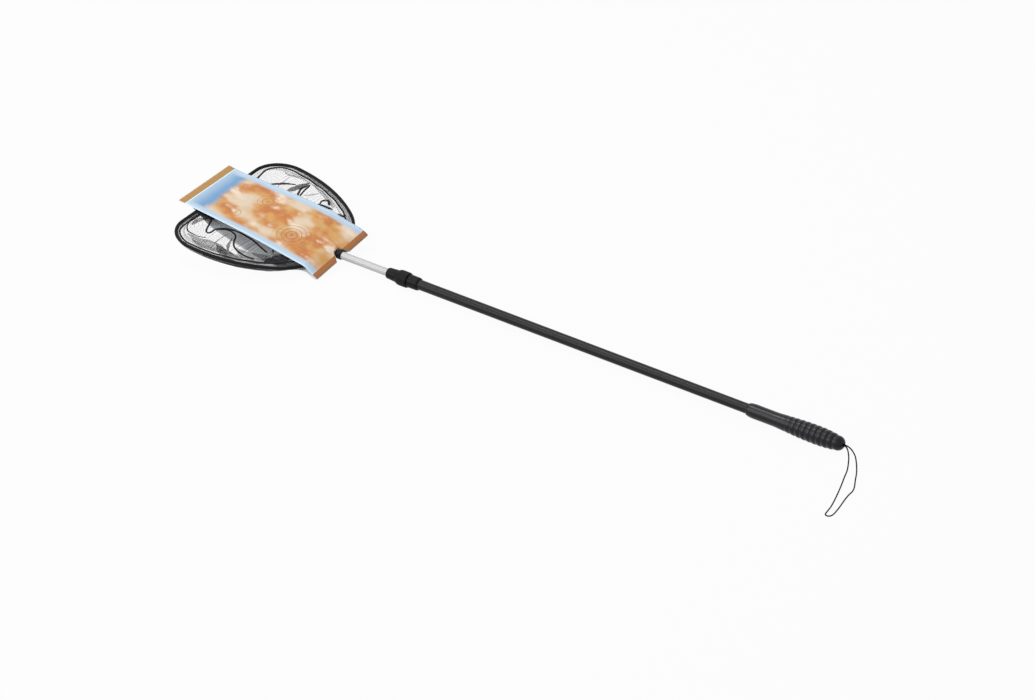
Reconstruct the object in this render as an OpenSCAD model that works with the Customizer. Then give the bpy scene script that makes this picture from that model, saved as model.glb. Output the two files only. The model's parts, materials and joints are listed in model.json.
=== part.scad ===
// Pond net with a telescopic handle, a twist lock and a wrap card round its hoop.
// The shaft lies along X from the hoop (-X) to the grip (+X), and Z is up.
// The net rests on the belly of its grip and on the back panel of its card.

/* [Handle] */
// Outer diameter of the outer tube
tube_d = 19; // [18.5:0.1:19.5]
// Wall of both tubes
tube_wall = 1; // [0.8:0.1:1.2]
// Length of the outer tube
tube_len = 935; // [900:5:1200]

/* [Grip] */
// Length of the grip
grip_len = 210; // [205:1:220]
// Largest radius, at the belly
belly_r = 17.5; // [16.5:0.1:18.5]
// Radius of the straight shank
shank_r = 13.2; // [12.5:0.1:14]
// Distance between two ribs
rib_pitch = 10.7; // [9:0.1:13]
// Depth of the grooves between the ribs
groove = 1.1; // [0.4:0.1:1.4]

/* [Twist lock] */
// Length of the nut's tapered nose
nose_len = 25; // [22:1:30]
// Length of the nut's ribbed bulge
bulge_len = 27; // [24:1:32]
// Largest radius of the nut
nut_r = 14.5; // [14:0.1:15.5]
// Number of ribs round the nut
nut_ribs = 22; // [16:1:28]
// Length of the rear ferrule
ferrule_len = 25; // [22:1:30]
// Radius of the rear ferrule
ferrule_r = 12.2; // [11.8:0.1:12.6]

/* [Inner tube] */
// Outer diameter of the inner tube
inner_d = 14; // [13.8:0.1:14.2]
// Length of inner tube that shows between collar and nut
silver_len = 97.5; // [60:0.5:140]
// How far the inner tube pulls out
travel = 720; // [500:10:740]

/* [Neck] */
// Length of the collar
collar_len = 11.5; // [11:0.5:14]
// Radius of the collar
collar_r = 8.75; // [8.5:0.05:9.5]
// Radius of the collar's rounded edges
collar_round = 2.5; // [1:0.1:3]
// Radius of the rivet's heads
rivet_r = 2.3; // [2:0.1:2.5]

/* [Hoop] */
// Outer width of the hoop
hoop_w = 341; // [332:1:350]
// Distance from the collar to the outside of the front bar
hoop_len = 271; // [268:3:274]
// Diameter of the rod
rod_d = 5; // [4.6:0.1:5]
// Upward pitch of the hoop against the shaft
hoop_pitch = 5.9; // [4:0.1:7]
// Distance from the collar to the straight rod beside the neck
base_u = 14; // [11:3:17]
// Radius of the shoulders
shoulder_r = 105; // [99:3:111]
// Radius of the front corners
corner_r = 56.5; // [50.5:3:59.5]

/* [Net] */
// Outer diameter of the hem round the rod
hem_d = 6.2; // [6:0.1:6.4]
// Drop of the mesh band inside the rim
skirt_h = 2; // [1:0.5:4]
// Reach of the mesh band towards the middle
skirt_in = 12; // [10:0.5:14]
// Thickness of the netting as it lies
net_t = 1; // [0.6:0.1:1]
// Depth of the bag's belly below the band
sag = 12; // [6:0.5:12.5]
// Radius of the bag's belly
sag_r = 105; // [90:1:105]
// Width of the seam tape
tape_w = 3; // [2:0.5:5]

/* [Card] */
// Width of the card
card_w = 152; // [140:1:160]
// Thickness of the card
card_t = 0.5; // [0.3:0.1:0.5]
// Reach of the card past the collar towards the tip
card_reach = 306; // [303:1:309]
// Reach of the card behind the collar's front face
card_tail = 14; // [13:0.5:15]
// Width of the notch round the neck
notch_w = 37; // [30:1:44]
// Depth of the notch
notch_depth = 17; // [16.5:0.5:18]
// Skew of the card's long sides against the shaft
card_skew = 1.8; // [0:0.1:3]

/* [Lanyard] */
// Diameter of the cord
cord_d = 2.5; // [2:0.1:2.8]

/* [Hidden] */
$fn = 96;

// Clearances: parts that run in each other, and parts of one body that are pushed together
run_gap = 0.1;
seat_gap = 0.05;
face_gap = 0.5;

// Stations along the shaft, counted from the collar's front face towards the grip
nut_x = collar_len + silver_len;
bulge_x = nut_x + nose_len;
nut_end = bulge_x + bulge_len;
base_x = nut_end + face_gap;
base_end = base_x + ferrule_len;
tube_x = base_x + 3.5;
tube_end = tube_x + tube_len;
plug_flange = 2;
knot_x = tube_end + plug_flange + 2;
knot_len = 8;
grip_end = tube_end + 26;
grip_x = grip_end - grip_len;

// Radii of the tubes
tube_r = tube_d / 2;
tube_bore = tube_r - tube_wall;
inner_r = inner_d / 2;
inner_bore = inner_r - tube_wall;

// Stations of the inner tube's guide, stop and tail
bush_len = 20;
bead_r = 0.8;
bush_x = tube_x + travel + 2 * (bead_r + face_gap);
tail_plug_len = 3;
end_plug_len = 14;
inner_end = tube_end - end_plug_len - tail_plug_len - 1;

// Twist lock, inside
spigot_r = 10.05;
spigot_len = 21.5;
spigot_x = base_x - spigot_len;
collet_x = nut_x + 5;
collet_len = spigot_x - collet_x;
collet_tip_r = inner_r + 0.75;
collet_r = 9.8;
seat_len = 17;
slit_w = 1.2;

// Grip: stations along its length
lip_len = 18;
lip_r = 13.5;
mouth_r = 11;
belly_start = 60;
belly_mid = 142;
ribs_end = belly_start + 11 * rib_pitch;
dome_start = grip_len - 13;
dome_r = 13.3;
cord_hole_r = 3.5;

// Rivet across the collar, over the hoop's legs
rivet_x = 7;
rivet_z = 4.2;
rivet_seat = 7;
rivet_shank_r = 1.1;
rivet_head = 1.6;
rivet_dome = 1.2;

// Hoop: its centre line in the hoop's own plane, u towards the tip and v across
rod_r = rod_d / 2;
leg_v = 4;
leg_in = 11;
bend_r = 12;
bend_u = base_u - bend_r;
bar_u = hoop_len - rod_r;
half_w = hoop_w / 2 - rod_r;
// The shoulders turn by the angle of a 3-4-5 triangle, so that the arcs meet on round numbers
shoulder_turn = atan2(4, 3);
side_r = shoulder_r + (bar_u - corner_r - base_u - shoulder_r) / 0.6;
side_c = [bar_u - corner_r, half_w - side_r];
shoulder_c = side_c + (side_r - shoulder_r) * [-0.6, 0.8];
corner_c = [bar_u - corner_r, half_w - corner_r];
hem_start = 18;

// Net: heights over the hoop's plane
skirt_t = 0.6;
skirt_w = -hem_d / 2 - skirt_h;
belly_u = 145;

// Height of the shaft's axis over the floor, and the middle of the net's length
axis_h = belly_r;
head_reach = card_reach * cos(hoop_pitch) - 5.1 * sin(hoop_pitch);
mid_x = (grip_end - head_reach) / 2;

// Height of the floor under the hoop's plane, which the back panel rests on
function floor_w(u) = -(axis_h + u * sin(hoop_pitch)) / cos(hoop_pitch);

// Undersides of the two card panels, as u along the hoop and height over its plane
card_front_line = [[-card_tail, 0.4], [3, 4], [40, 5], [260, 6.3], [card_reach, 5.9]];
card_back_line = [[-card_tail, -0.9], [3, -5.5], [26, -9], [60, floor_w(60)], [110, floor_w(110)],
    [200, -20.5], [250, -11.6], [274, -4.6], [290, 3.4], [card_reach, 5.1]];

// Seam tapes on the bag, as points of the hoop's plane
seam_long = [[236, -58], [234, -70], [226, -96], [221, -104], [215, -104], [213, -94], [208, -84],
    [188, -74], [173, -80], [161, -99], [149, -109], [132, -116], [111, -121], [96, -121]];
seam_short = [[211, -70], [190, -66], [164, -64], [146, -65], [124, -70], [106, -74]];

// The lanyard's route: X from the grip's end, Y, and height over the floor
cord_z = 1.3;
lanyard_route = [[-14, 1.6, 17.5], [-6, 1.6, 17.5], [2, 1.6, 17.5], [9, 0.8, 17], [17, -2, 14.5],
    [26, -9, 9.5], [35, -17, 4.5], [46, -27, 1.6], [58, -43, cord_z], [71, -65, cord_z],
    [82, -83, cord_z], [88, -97, cord_z], [90, -112, cord_z], [94, -130, cord_z],
    [99, -148, cord_z], [103, -164, cord_z], [105.5, -177, cord_z], [106, -185.5, cord_z],
    [104.1, -190.1, cord_z], [99.5, -192, cord_z], [94.9, -190.1, cord_z], [92.6, -184.5, cord_z],
    [90.3, -174, cord_z], [86, -158, cord_z],
    [76, -131, cord_z], [62, -97, cord_z], [49, -68, cord_z], [40, -47, 1.6], [33, -32, 4.5],
    [26, -18, 9.5], [18, -8, 14.5], [9, -3, 17], [2, -1.6, 17.5], [-6, -1.6, 17.5],
    [-14, -1.6, 17.5]];

function unit(v) = v / norm(v);
function turned(a) = [cos(a), sin(a)];
function arc(c, r, from, to, n) = [for (i = [0:n]) c + r * turned(from + (to - from) * i / n)];

// A smooth line through points set by hand, with n steps between each two
function between(a, b, c, d, t) =
    (2 * b + (c - a) * t + (2 * a - 5 * b + 4 * c - d) * t * t
    + (3 * b - a - 3 * c + d) * t * t * t) / 2;
function smooth_line(p, n) =
    let (last = len(p) - 1)
    concat([for (i = [0:last - 1], k = [0:n - 1])
        between(p[max(i - 1, 0)], p[i], p[i + 1], p[min(i + 2, last)], k / n)], [p[last]]);

// A sheet's section: its underside and the same line a thickness higher
function strip(line, t) = concat(line, [for (i = [len(line) - 1:-1:0]) line[i] + [0, t]]);

// A band of a given width along a flat line
function side_of(line, i) =
    let (d = unit(line[min(i + 1, len(line) - 1)] - line[max(i - 1, 0)]))
    [-d[1], d[0]];
function band(line, w) =
    concat([for (i = [0:len(line) - 1]) line[i] + side_of(line, i) * w / 2],
        [for (i = [len(line) - 1:-1:0]) line[i] - side_of(line, i) * w / 2]);

// Radius of the grip at x from its front edge
function grip_wave(x) = groove * pow(abs(cos(180 * (x - belly_start) / rib_pitch)), 6);
function grip_swell(x) =
    x < belly_mid
    ? shank_r + (belly_r - shank_r) * pow(sin(90 * (x - belly_start) / (belly_mid - belly_start)), 1.2)
    : belly_r - (belly_r - dome_r) * pow((x - belly_mid) / (dome_start - belly_mid), 2);

// Frames: on the shaft's axis, and in the hoop's pitched plane
module placed() {
    translate([-mid_x, 0, axis_h]) children();
}
module on_shaft(x) {
    placed() translate([x, 0, 0]) rotate([0, 90, 0]) children();
}
module in_hoop() {
    placed() rotate([0, hoop_pitch, 0]) mirror([1, 0, 0]) children();
}

module ring(len, r, bore) {
    difference() {
        cylinder(h = len, r = r);
        translate([0, 0, -1]) cylinder(h = len + 2, r = bore);
    }
}

// One stretch of the hoop's centre line, with a section swept along it
module straight_run(from, heading, len) {
    translate([from[0], from[1], 0]) rotate([90, 0, heading + 90]) linear_extrude(len) children();
}
module curved_run(c, r, from) {
    translate([c[0], c[1], 0]) rotate([0, 0, from]) rotate_extrude(angle = 90)
        translate([r, 0]) children();
}

// Everything on the neck's side of the line where a side arc meets its shoulder
module shoulder_cut() {
    translate([side_c[0], side_c[1], -hem_d]) translate([0, 0, -skirt_h])
        rotate([0, 0, 180 - shoulder_turn]) cube([2 * side_r, side_r, 2 * hem_d + skirt_h]);
}

// A section swept round the hoop, from one side of the neck to the other
module round_hoop(start_v) {
    for (flip = [0, 1]) mirror([0, flip, 0]) {
        straight_run([base_u, start_v], 90, shoulder_c[1] - start_v) children();
        intersection() {
            curved_run(shoulder_c, shoulder_r, 90) children();
            shoulder_cut();
        }
        difference() {
            curved_run(side_c, side_r, 90) children();
            shoulder_cut();
        }
        curved_run(corner_c, corner_r, 0) children();
    }
    straight_run([bar_u, corner_c[1]], -90, 2 * corner_c[1]) children();
}

// The area inside the hoop, grown by a margin
function half_hoop(grow) = concat(
    arc(shoulder_c, shoulder_r + grow, 180, 180 - shoulder_turn, 8),
    arc(side_c, side_r + grow, 180 - shoulder_turn, 90, 14),
    arc(corner_c, corner_r + grow, 90, 0, 10));
module hoop_area(grow) {
    half = half_hoop(grow);
    polygon(concat(half, [for (i = [len(half) - 1:-1:0]) [half[i][0], -half[i][1]]]));
}

module outer_tube() color("#26272b") on_shaft(tube_x) ring(tube_len, tube_r, tube_bore);

module grip() color("#2b2d33") on_shaft(grip_x) {
    lip = [for (a = [0:15:90]) [mouth_r + (lip_r - mouth_r) * sin(a), lip_len * (1 - cos(a))]];
    shank = [[shank_r, lip_len + 6], [shank_r, belly_start - rib_pitch / 4]];
    ribs = [for (x = [belly_start:rib_pitch / 8:ribs_end]) [grip_swell(x) - grip_wave(x), x]];
    dome = [for (a = [0:15:90]) [dome_r * cos(a), dome_start + (grip_len - dome_start) * sin(a)]];
    difference() {
        rotate_extrude() polygon(concat([[0, 0]], lip, shank, ribs, dome));
        translate([0, 0, -1]) cylinder(h = tube_end + plug_flange - grip_x + 1, r = tube_r + seat_gap);
        cylinder(h = knot_x + knot_len + 3 - grip_x, r = 6.5);
        cylinder(h = grip_len + 1, r = cord_hole_r);
    }
}

module end_plug() color("#3a3a3c") on_shaft(tube_end - end_plug_len) {
    cylinder(h = end_plug_len, r = tube_bore - seat_gap);
    translate([0, 0, end_plug_len]) cylinder(h = plug_flange, r = tube_r);
}

module lanyard_knot() color("#151517") on_shaft(knot_x)
    rotate_extrude() polygon(concat([[0, 0]],
        [for (a = [-60:20:60]) [4.4 * cos(a), knot_len / 2 * (1 + sin(a) / sin(60))]], [[0, knot_len]]));

module lanyard_cord() color("#151517") {
    line = [for (p = smooth_line(lanyard_route, 2)) p + [grip_end - mid_x, 0, 0]];
    last = len(line) - 1;
    sides = 8;
    rings = [for (i = [0:last])
        let (ahead = unit(line[min(i + 1, last)] - line[max(i - 1, 0)]))
        let (across = unit(cross(ahead, [0, 0, 1])))
        let (over = cross(across, ahead))
        for (k = [0:sides - 1])
            let (a = 360 * k / sides)
            line[i] + cord_d / 2 * (cos(a) * across + sin(a) * over)];
    walls = [for (i = [0:last - 1], k = [0:sides - 1])
        let (next = (k + 1) % sides)
        [i * sides + k, i * sides + next, (i + 1) * sides + next, (i + 1) * sides + k]];
    first_end = [for (k = [sides - 1:-1:0]) k];
    last_end = [for (k = [0:sides - 1]) last * sides + k];
    polyhedron(rings, concat(walls, [first_end, last_end]));
}

// Ferrule on the outer tube, with the spigot that the nut turns on
module clamp_base() color("#1d1e20") difference() {
    union() {
        on_shaft(spigot_x) cylinder(h = spigot_len + 1, r = spigot_r);
        on_shaft(base_x) cylinder(h = ferrule_len - 5, r = ferrule_r);
        on_shaft(base_end - 5) cylinder(h = 5, r1 = ferrule_r, r2 = ferrule_r - 1.6);
    }
    on_shaft(spigot_x - 1) cylinder(h = spigot_len + ferrule_len, r = inner_r + run_gap);
    on_shaft(tube_x) cylinder(h = ferrule_len, r = tube_r + seat_gap);
}

module clamp_collet() color("#d8d4c4") on_shaft(collet_x) difference() {
    union() {
        cylinder(h = seat_len, r1 = collet_tip_r, r2 = collet_r);
        translate([0, 0, seat_len]) cylinder(h = collet_len - seat_len, r = collet_r);
    }
    translate([0, 0, -1]) cylinder(h = collet_len + 2, r = inner_r + run_gap);
    for (a = [0, 90]) rotate([0, 0, a])
        translate([-collet_r - 1, -slit_w / 2, -1]) cube([2 * collet_r + 2, slit_w, seat_len + 1]);
}

// Nut: a tapered nose and a barrel with lengthwise ribs
module clamp_nut() color("#17181a") on_shaft(nut_x) difference() {
    union() {
        cylinder(h = 1.5, r1 = 9, r2 = 10);
        translate([0, 0, 1.5]) cylinder(h = nose_len - 1.5, r1 = 10, r2 = 12);
        intersection() {
            translate([0, 0, nose_len - 2]) linear_extrude(bulge_len + 2) difference() {
                circle(r = nut_r);
                for (i = [0:nut_ribs - 1]) rotate(360 * i / nut_ribs)
                    translate([nut_r + 0.5, 0]) circle(r = 1.3);
            }
            rotate_extrude() polygon([[0, nose_len - 2], [11.6, nose_len - 2], [13.6, nose_len + 1],
                [nut_r, nose_len + 5], [nut_r, nose_len + bulge_len - 5],
                [13.6, nose_len + bulge_len - 1], [12.6, nose_len + bulge_len],
                [0, nose_len + bulge_len]]);
        }
    }
    translate([0, 0, -1]) cylinder(h = nose_len, r = inner_r + 0.4);
    translate([0, 0, 4.5]) cylinder(h = seat_len, r1 = collet_tip_r + 0.3, r2 = spigot_r + run_gap);
    translate([0, 0, 4.5 + seat_len])
        cylinder(h = nose_len + bulge_len, r = spigot_r + run_gap);
}

// Inner tube with two rolled beads that hold the guide bush
module inner_tube() color("#b9bcc0") difference() {
    union() {
        on_shaft(collar_len) cylinder(h = inner_end - collar_len, r = inner_r);
        for (x = [bush_x - bead_r - 0.3, bush_x + bush_len + bead_r + 0.3]) on_shaft(x)
            rotate_extrude() translate([inner_r, 0]) circle(r = bead_r);
    }
    on_shaft(0) cylinder(h = inner_end + 1, r = inner_bore);
}

module guide_bush() color("#e8e4d8") on_shaft(bush_x)
    ring(bush_len, tube_bore - run_gap, inner_r + 0.08);

module tail_plug() color("#3a3a3c") {
    on_shaft(inner_end - 20) cylinder(h = 20, r = inner_bore - seat_gap);
    on_shaft(inner_end) cylinder(h = tail_plug_len, r = tube_bore - 0.3);
}

// A stretch of a shaft on the rivet's line, from y1 to y2
module across_collar(y1, y2, r1, r2) {
    placed() translate([rivet_x, y1, rivet_z]) rotate([-90, 0, 0]) cylinder(h = y2 - y1, r1 = r1, r2 = r2);
}

// Collar with the two pitched holes for the hoop's legs, and a shank in the inner tube
module neck_socket() color("#141416") difference() {
    union() {
        on_shaft(0) rotate_extrude() polygon(concat([[0, 0]],
            [for (a = [-90:15:0]) [collar_r - collar_round * (1 - cos(a)), collar_round * (1 + sin(a))]],
            [for (a = [0:15:90]) [collar_r - collar_round * (1 - cos(a)),
                collar_len - collar_round * (1 - sin(a))]],
            [[0, collar_len]]));
        on_shaft(collar_len - 1) cylinder(h = 26, r = inner_bore - seat_gap);
    }
    for (v = [-leg_v, leg_v]) in_hoop() translate([-leg_in, v, 0]) rotate([0, 90, 0])
        cylinder(h = leg_in + 5, r = rod_r + seat_gap);
    across_collar(-collar_r, collar_r, rivet_shank_r + seat_gap, rivet_shank_r + seat_gap);
    for (flip = [0, 1]) mirror([0, flip, 0])
        across_collar(rivet_seat, 2 * rivet_seat, rivet_r + 2 * seat_gap, rivet_r + 2 * seat_gap);
}

module socket_rivet() color("#101012") {
    across_collar(-rivet_seat, rivet_seat, rivet_shank_r, rivet_shank_r);
    for (flip = [0, 1]) mirror([0, flip, 0]) {
        across_collar(rivet_seat, rivet_seat + rivet_head, rivet_r, rivet_r);
        across_collar(rivet_seat + rivet_head, rivet_seat + rivet_head + rivet_dome, rivet_r, rivet_r - 1);
    }
}

module hoop_rod() color("#0f0f11") in_hoop() {
    for (flip = [0, 1]) mirror([0, flip, 0]) {
        straight_run([-leg_in, leg_v], 0, leg_in + bend_u) circle(r = rod_r);
        curved_run([bend_u, leg_v + bend_r], bend_r, -90) circle(r = rod_r);
    }
    round_hoop(leg_v + bend_r) circle(r = rod_r);
}

module hem_binding() color("#18181a") in_hoop() round_hoop(hem_start) difference() {
    circle(r = hem_d / 2);
    circle(r = rod_r + seat_gap);
}

module hem_skirt() color("#3c3d40") in_hoop() round_hoop(hem_start)
    polygon(strip([[-skirt_in, skirt_w], [0, skirt_w + skirt_h - skirt_t]], skirt_t));

// The bag's skin at a height over its underside: a flat margin and a belly
module bag_skin(lift, t) {
    low = skirt_w - net_t + lift;
    translate([0, 0, low]) difference() {
        linear_extrude(t) hoop_area(1 - skirt_in);
        translate([belly_u, 0, -1]) cylinder(h = t + 2, r = sag_r);
    }
    translate([belly_u, 0, low]) rotate_extrude()
        polygon(strip([for (i = [0:10]) [sag_r * i / 10, -sag * (1 - pow(i / 10, 2))]], t));
}

module net_bag() color("#55565a") in_hoop() bag_skin(0, net_t);

module seam_tape() color("#101012") in_hoop() intersection() {
    bag_skin(net_t, 0.8);
    translate([0, 0, -60]) linear_extrude(80) {
        polygon(band(smooth_line(seam_long, 3), tape_w));
        polygon(band(smooth_line(seam_short, 3), tape_w));
    }
}

// A bent card panel: its section across the net, cut to the card's outline and notch
module card_panel(line) {
    lean = (card_reach + card_tail) * tan(card_skew);
    middle_v = -4.3;
    notch_v = -2.5 - notch_w / 2;
    intersection() {
        translate([0, card_w, 0]) rotate([90, 0, 0])
            linear_extrude(2 * card_w) polygon(strip(line, card_t));
        translate([0, 0, -60]) linear_extrude(120) difference() {
            polygon([[-card_tail - 1, middle_v - card_w / 2], [-card_tail - 1, middle_v + card_w / 2],
                [card_reach + 1, middle_v + card_w / 2 + lean],
                [card_reach + 1, middle_v - card_w / 2 + lean]]);
            translate([-card_tail - 2, notch_v]) square([notch_depth + 2, notch_w]);
        }
    }
}

module card_front() color("#e7a765") in_hoop() card_panel(card_front_line);

module card_back() color("#c9dcec") in_hoop() card_panel(card_back_line);

outer_tube();
grip();
end_plug();
lanyard_knot();
lanyard_cord();
clamp_base();
clamp_collet();
clamp_nut();
inner_tube();
guide_bush();
tail_plug();
neck_socket();
socket_rivet();
hoop_rod();
hem_binding();
hem_skirt();
net_bag();
seam_tape();
card_front();
card_back();
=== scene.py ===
"""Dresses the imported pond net: stage, lanyard, handle, twist lock, hoop, netting and wrap card."""

import json
import math
from contextlib import contextmanager
from functools import wraps

import bmesh
import bpy
import numpy as np
from bpy.props import FloatProperty, FloatVectorProperty, IntProperty, PointerProperty
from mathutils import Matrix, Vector, noise

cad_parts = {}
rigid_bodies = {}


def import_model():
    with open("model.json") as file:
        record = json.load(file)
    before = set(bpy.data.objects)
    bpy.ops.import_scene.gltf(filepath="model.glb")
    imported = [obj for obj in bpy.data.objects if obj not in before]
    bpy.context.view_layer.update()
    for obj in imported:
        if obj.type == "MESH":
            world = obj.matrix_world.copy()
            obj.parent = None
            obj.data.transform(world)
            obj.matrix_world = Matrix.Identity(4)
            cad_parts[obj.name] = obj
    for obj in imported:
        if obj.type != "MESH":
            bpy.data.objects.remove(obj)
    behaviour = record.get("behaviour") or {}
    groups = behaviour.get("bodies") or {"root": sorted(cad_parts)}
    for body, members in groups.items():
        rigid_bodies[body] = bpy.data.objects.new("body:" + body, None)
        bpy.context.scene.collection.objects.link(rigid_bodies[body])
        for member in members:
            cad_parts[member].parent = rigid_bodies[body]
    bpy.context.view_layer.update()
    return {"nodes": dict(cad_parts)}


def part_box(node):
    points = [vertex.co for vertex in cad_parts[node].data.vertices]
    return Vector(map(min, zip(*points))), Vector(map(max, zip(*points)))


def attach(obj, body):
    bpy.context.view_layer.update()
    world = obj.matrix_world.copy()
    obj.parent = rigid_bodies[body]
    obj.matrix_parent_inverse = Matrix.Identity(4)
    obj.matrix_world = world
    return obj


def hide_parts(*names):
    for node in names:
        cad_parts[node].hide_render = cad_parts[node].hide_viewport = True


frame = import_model()

bl_info = {
    "name": "Pond net",
    "version": (1, 0, 0),
    "blender": (4, 5, 0),
    "location": "3D View > Sidebar > Pond net",
    "description": "Builds the looks of a telescopic pond net over its packed solids",
    "category": "Add Mesh",
}

# The collar's front face and the shaft's axis: every station along the shaft counts from here
COLLAR_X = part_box("neck_socket")[0].x
AXIS_Z = 0.0175
NODES = frame["nodes"]

# Radius of the bores that sit on the outer tube
TUBE_FIT = 0.00955


def length(label, text, default):
    """A size in metres that a user may change"""
    return FloatProperty(name=label, description=text, default=default, unit="LENGTH", precision=4)


def angle(label, text, degrees):
    """An angle that a user may change"""
    return FloatProperty(name=label, description=text, default=math.radians(degrees), subtype="ANGLE")


def colour(label, text, default):
    """A colour that a user may change"""
    return FloatVectorProperty(
        name=label, description=text, default=default, subtype="COLOR", size=3, min=0.0, max=1.0
    )


class StageSettings(bpy.types.PropertyGroup):
    """Floor, light and camera"""

    floor_white: colour("Floor", "Colour of the floor", (0.60, 0.60, 0.60))
    floor_size: length("Floor size", "Side of the square floor", 9.0)
    sky_level: FloatProperty(name="Sky", description="Strength of the light from all round", default=0.39)
    top_power: FloatProperty(
        name="Top lamp", description="Power of the soft lamp overhead", default=31.0, unit="POWER"
    )
    front_power: FloatProperty(
        name="Front lamp", description="Power of the soft lamp in front, on the left", default=64.0, unit="POWER"
    )
    azimuth: angle("Azimuth", "Turn of the camera", 36.19)
    elevation: angle("Elevation", "Height angle of the camera", 31.23)
    distance: length("Distance", "From the camera to what it looks at", 45.0)
    view_width: length("View width", "Width of the picture at that distance", 1.8723)
    target: FloatVectorProperty(
        name="Target", description="Point in the middle of the picture", subtype="TRANSLATION", size=3,
        default=(COLLAR_X + 0.31728, 0.1173, -0.13033),
    )


class HandleSettings(bpy.types.PropertyGroup):
    """Tubes, grip, twist lock and lanyard"""

    tube_black: colour("Outer tube", "Coating of the outer tube", (0.013, 0.013, 0.0145))
    tube_silver: colour("Inner tube", "Satin metal of the inner tube", (0.56, 0.562, 0.57))
    plastic_black: colour("Lock plastic", "Moulded plastic of the twist lock", (0.0045, 0.0045, 0.005))
    rubber_black: colour("Grip rubber", "Rubber of the grip", (0.0045, 0.0047, 0.0072))
    cord_black: colour("Lanyard", "Cord of the lanyard", (0.006, 0.006, 0.0065))
    nylon_white: colour("Nylon", "Collet and bush inside the lock", (0.72, 0.70, 0.63))
    grip_start: length("Grip start", "From the collar to the grip's front edge", 0.916)
    grip_length: length("Grip length", "Length of the grip", 0.210)
    belly_radius: length("Belly", "Largest radius of the grip", 0.0175)
    shank_radius: length("Shank", "Radius of the grip's straight part", 0.0134)
    rib_start: length("First groove", "From the grip's front edge to its first groove", 0.0864)
    rib_pitch: length("Rib pitch", "Distance between two ribs of the grip", 0.0117)
    groove: length("Groove", "Depth between the ribs", 0.0011)
    nut_start: length("Nut start", "From the collar to the nut's front edge", 0.109)
    nut_radius: length("Nut radius", "Largest radius of the nut", 0.0145)
    nut_ribs: IntProperty(name="Nut ribs", description="Ribs round the nut", default=22, min=12, max=32)
    cord_diameter: length("Cord diameter", "Diameter of the lanyard", 0.0025)
    cord_twist: length("Cord lay", "Length of one turn of the cord's strands", 0.0085)


class HoopSettings(bpy.types.PropertyGroup):
    """Rod, hem and netting"""

    rod_black: colour("Rod", "Coating of the rod and the collar", (0.009, 0.009, 0.010))
    hem_black: colour("Hem", "Woven tape of the hem and seams", (0.008, 0.008, 0.009))
    thread_black: colour("Thread", "Thread of the netting", (0.014, 0.014, 0.016))
    pitch: angle("Pitch", "Upward pitch of the hoop", 5.9)
    base: length("Base", "From the collar to the straight rod beside the neck", 0.014)
    bar: length("Bar", "From the collar to the front bar", 0.2685)
    half_width: length("Half width", "From the middle to the rod at the sides", 0.168)
    shoulder_radius: length("Shoulder", "Radius of the shoulders", 0.105)
    corner_radius: length("Corner", "Radius of the front corners", 0.0565)
    hem_diameter: length("Hem diameter", "Diameter of the hem round the rod", 0.0062)
    hem_start: length("Hem start", "From the middle to the hem's ends beside the neck", 0.018)
    mesh_pitch: length("Mesh pitch", "Distance between two threads", 0.0040)
    thread_width: length("Thread width", "Width of one thread as it looks", 0.00022)
    band_pitch: length("Band pitch", "Distance between two threads of the band", 0.0027)
    band_thread: length("Band thread", "Width of one thread of the band as it looks", 0.00030)
    seam_width: length("Seam width", "Width of the seam along the band", 0.0031)
    tape_width: length("Tape width", "Width of the seam tapes", 0.0034)


class CardSettings(bpy.types.PropertyGroup):
    """The printed wrap card"""

    width: length("Width", "Width of the card", 0.152)
    thickness: length("Thickness", "Thickness of the card", 0.0005)
    reach: length("Reach", "From the collar to the card's tip", 0.3085)
    tail: length("Tail", "From the collar back to the card's other end", 0.014)
    skew: angle("Skew", "Turn of the card", 1.8)
    middle: length("Middle", "Sideways place of the card's neck end", -0.0043)
    notch_middle: length("Notch middle", "Sideways place of the notch", -0.0025)
    notch_width: length("Notch width", "Width of the notch at the card's edge", 0.037)
    notch_floor: length("Notch floor", "Width of the notch at its bottom", 0.013)
    notch_depth: length("Notch depth", "Depth of the notch", 0.017)
    tip_band: length("Tip band", "Width of the printed band at the tip", 0.014)
    # The neck band is drawn in the print's brown, which also stands as painted shade of the card's fold at the neck end
    neck_band: length("Neck band", "Width of the printed band at the neck", 0.011)
    orange: colour("Orange", "Deep patches of the print", (0.57, 0.20, 0.055))
    gold: colour("Gold", "Warm patches of the print and its tip band", (0.66, 0.35, 0.11))
    cream: colour("Cream", "Light ground of the print", (0.76, 0.62, 0.47))
    brown: colour("Brown", "Neck band and ripple lines of the print", (0.40, 0.155, 0.05))
    blue: colour("Blue", "Water of the print", (0.17, 0.35, 0.60))
    pale_blue: colour("Pale blue", "Borders of the print", (0.50, 0.64, 0.78))
    paper: colour("Paper", "Bare side of the card", (0.88, 0.90, 0.92))


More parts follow.
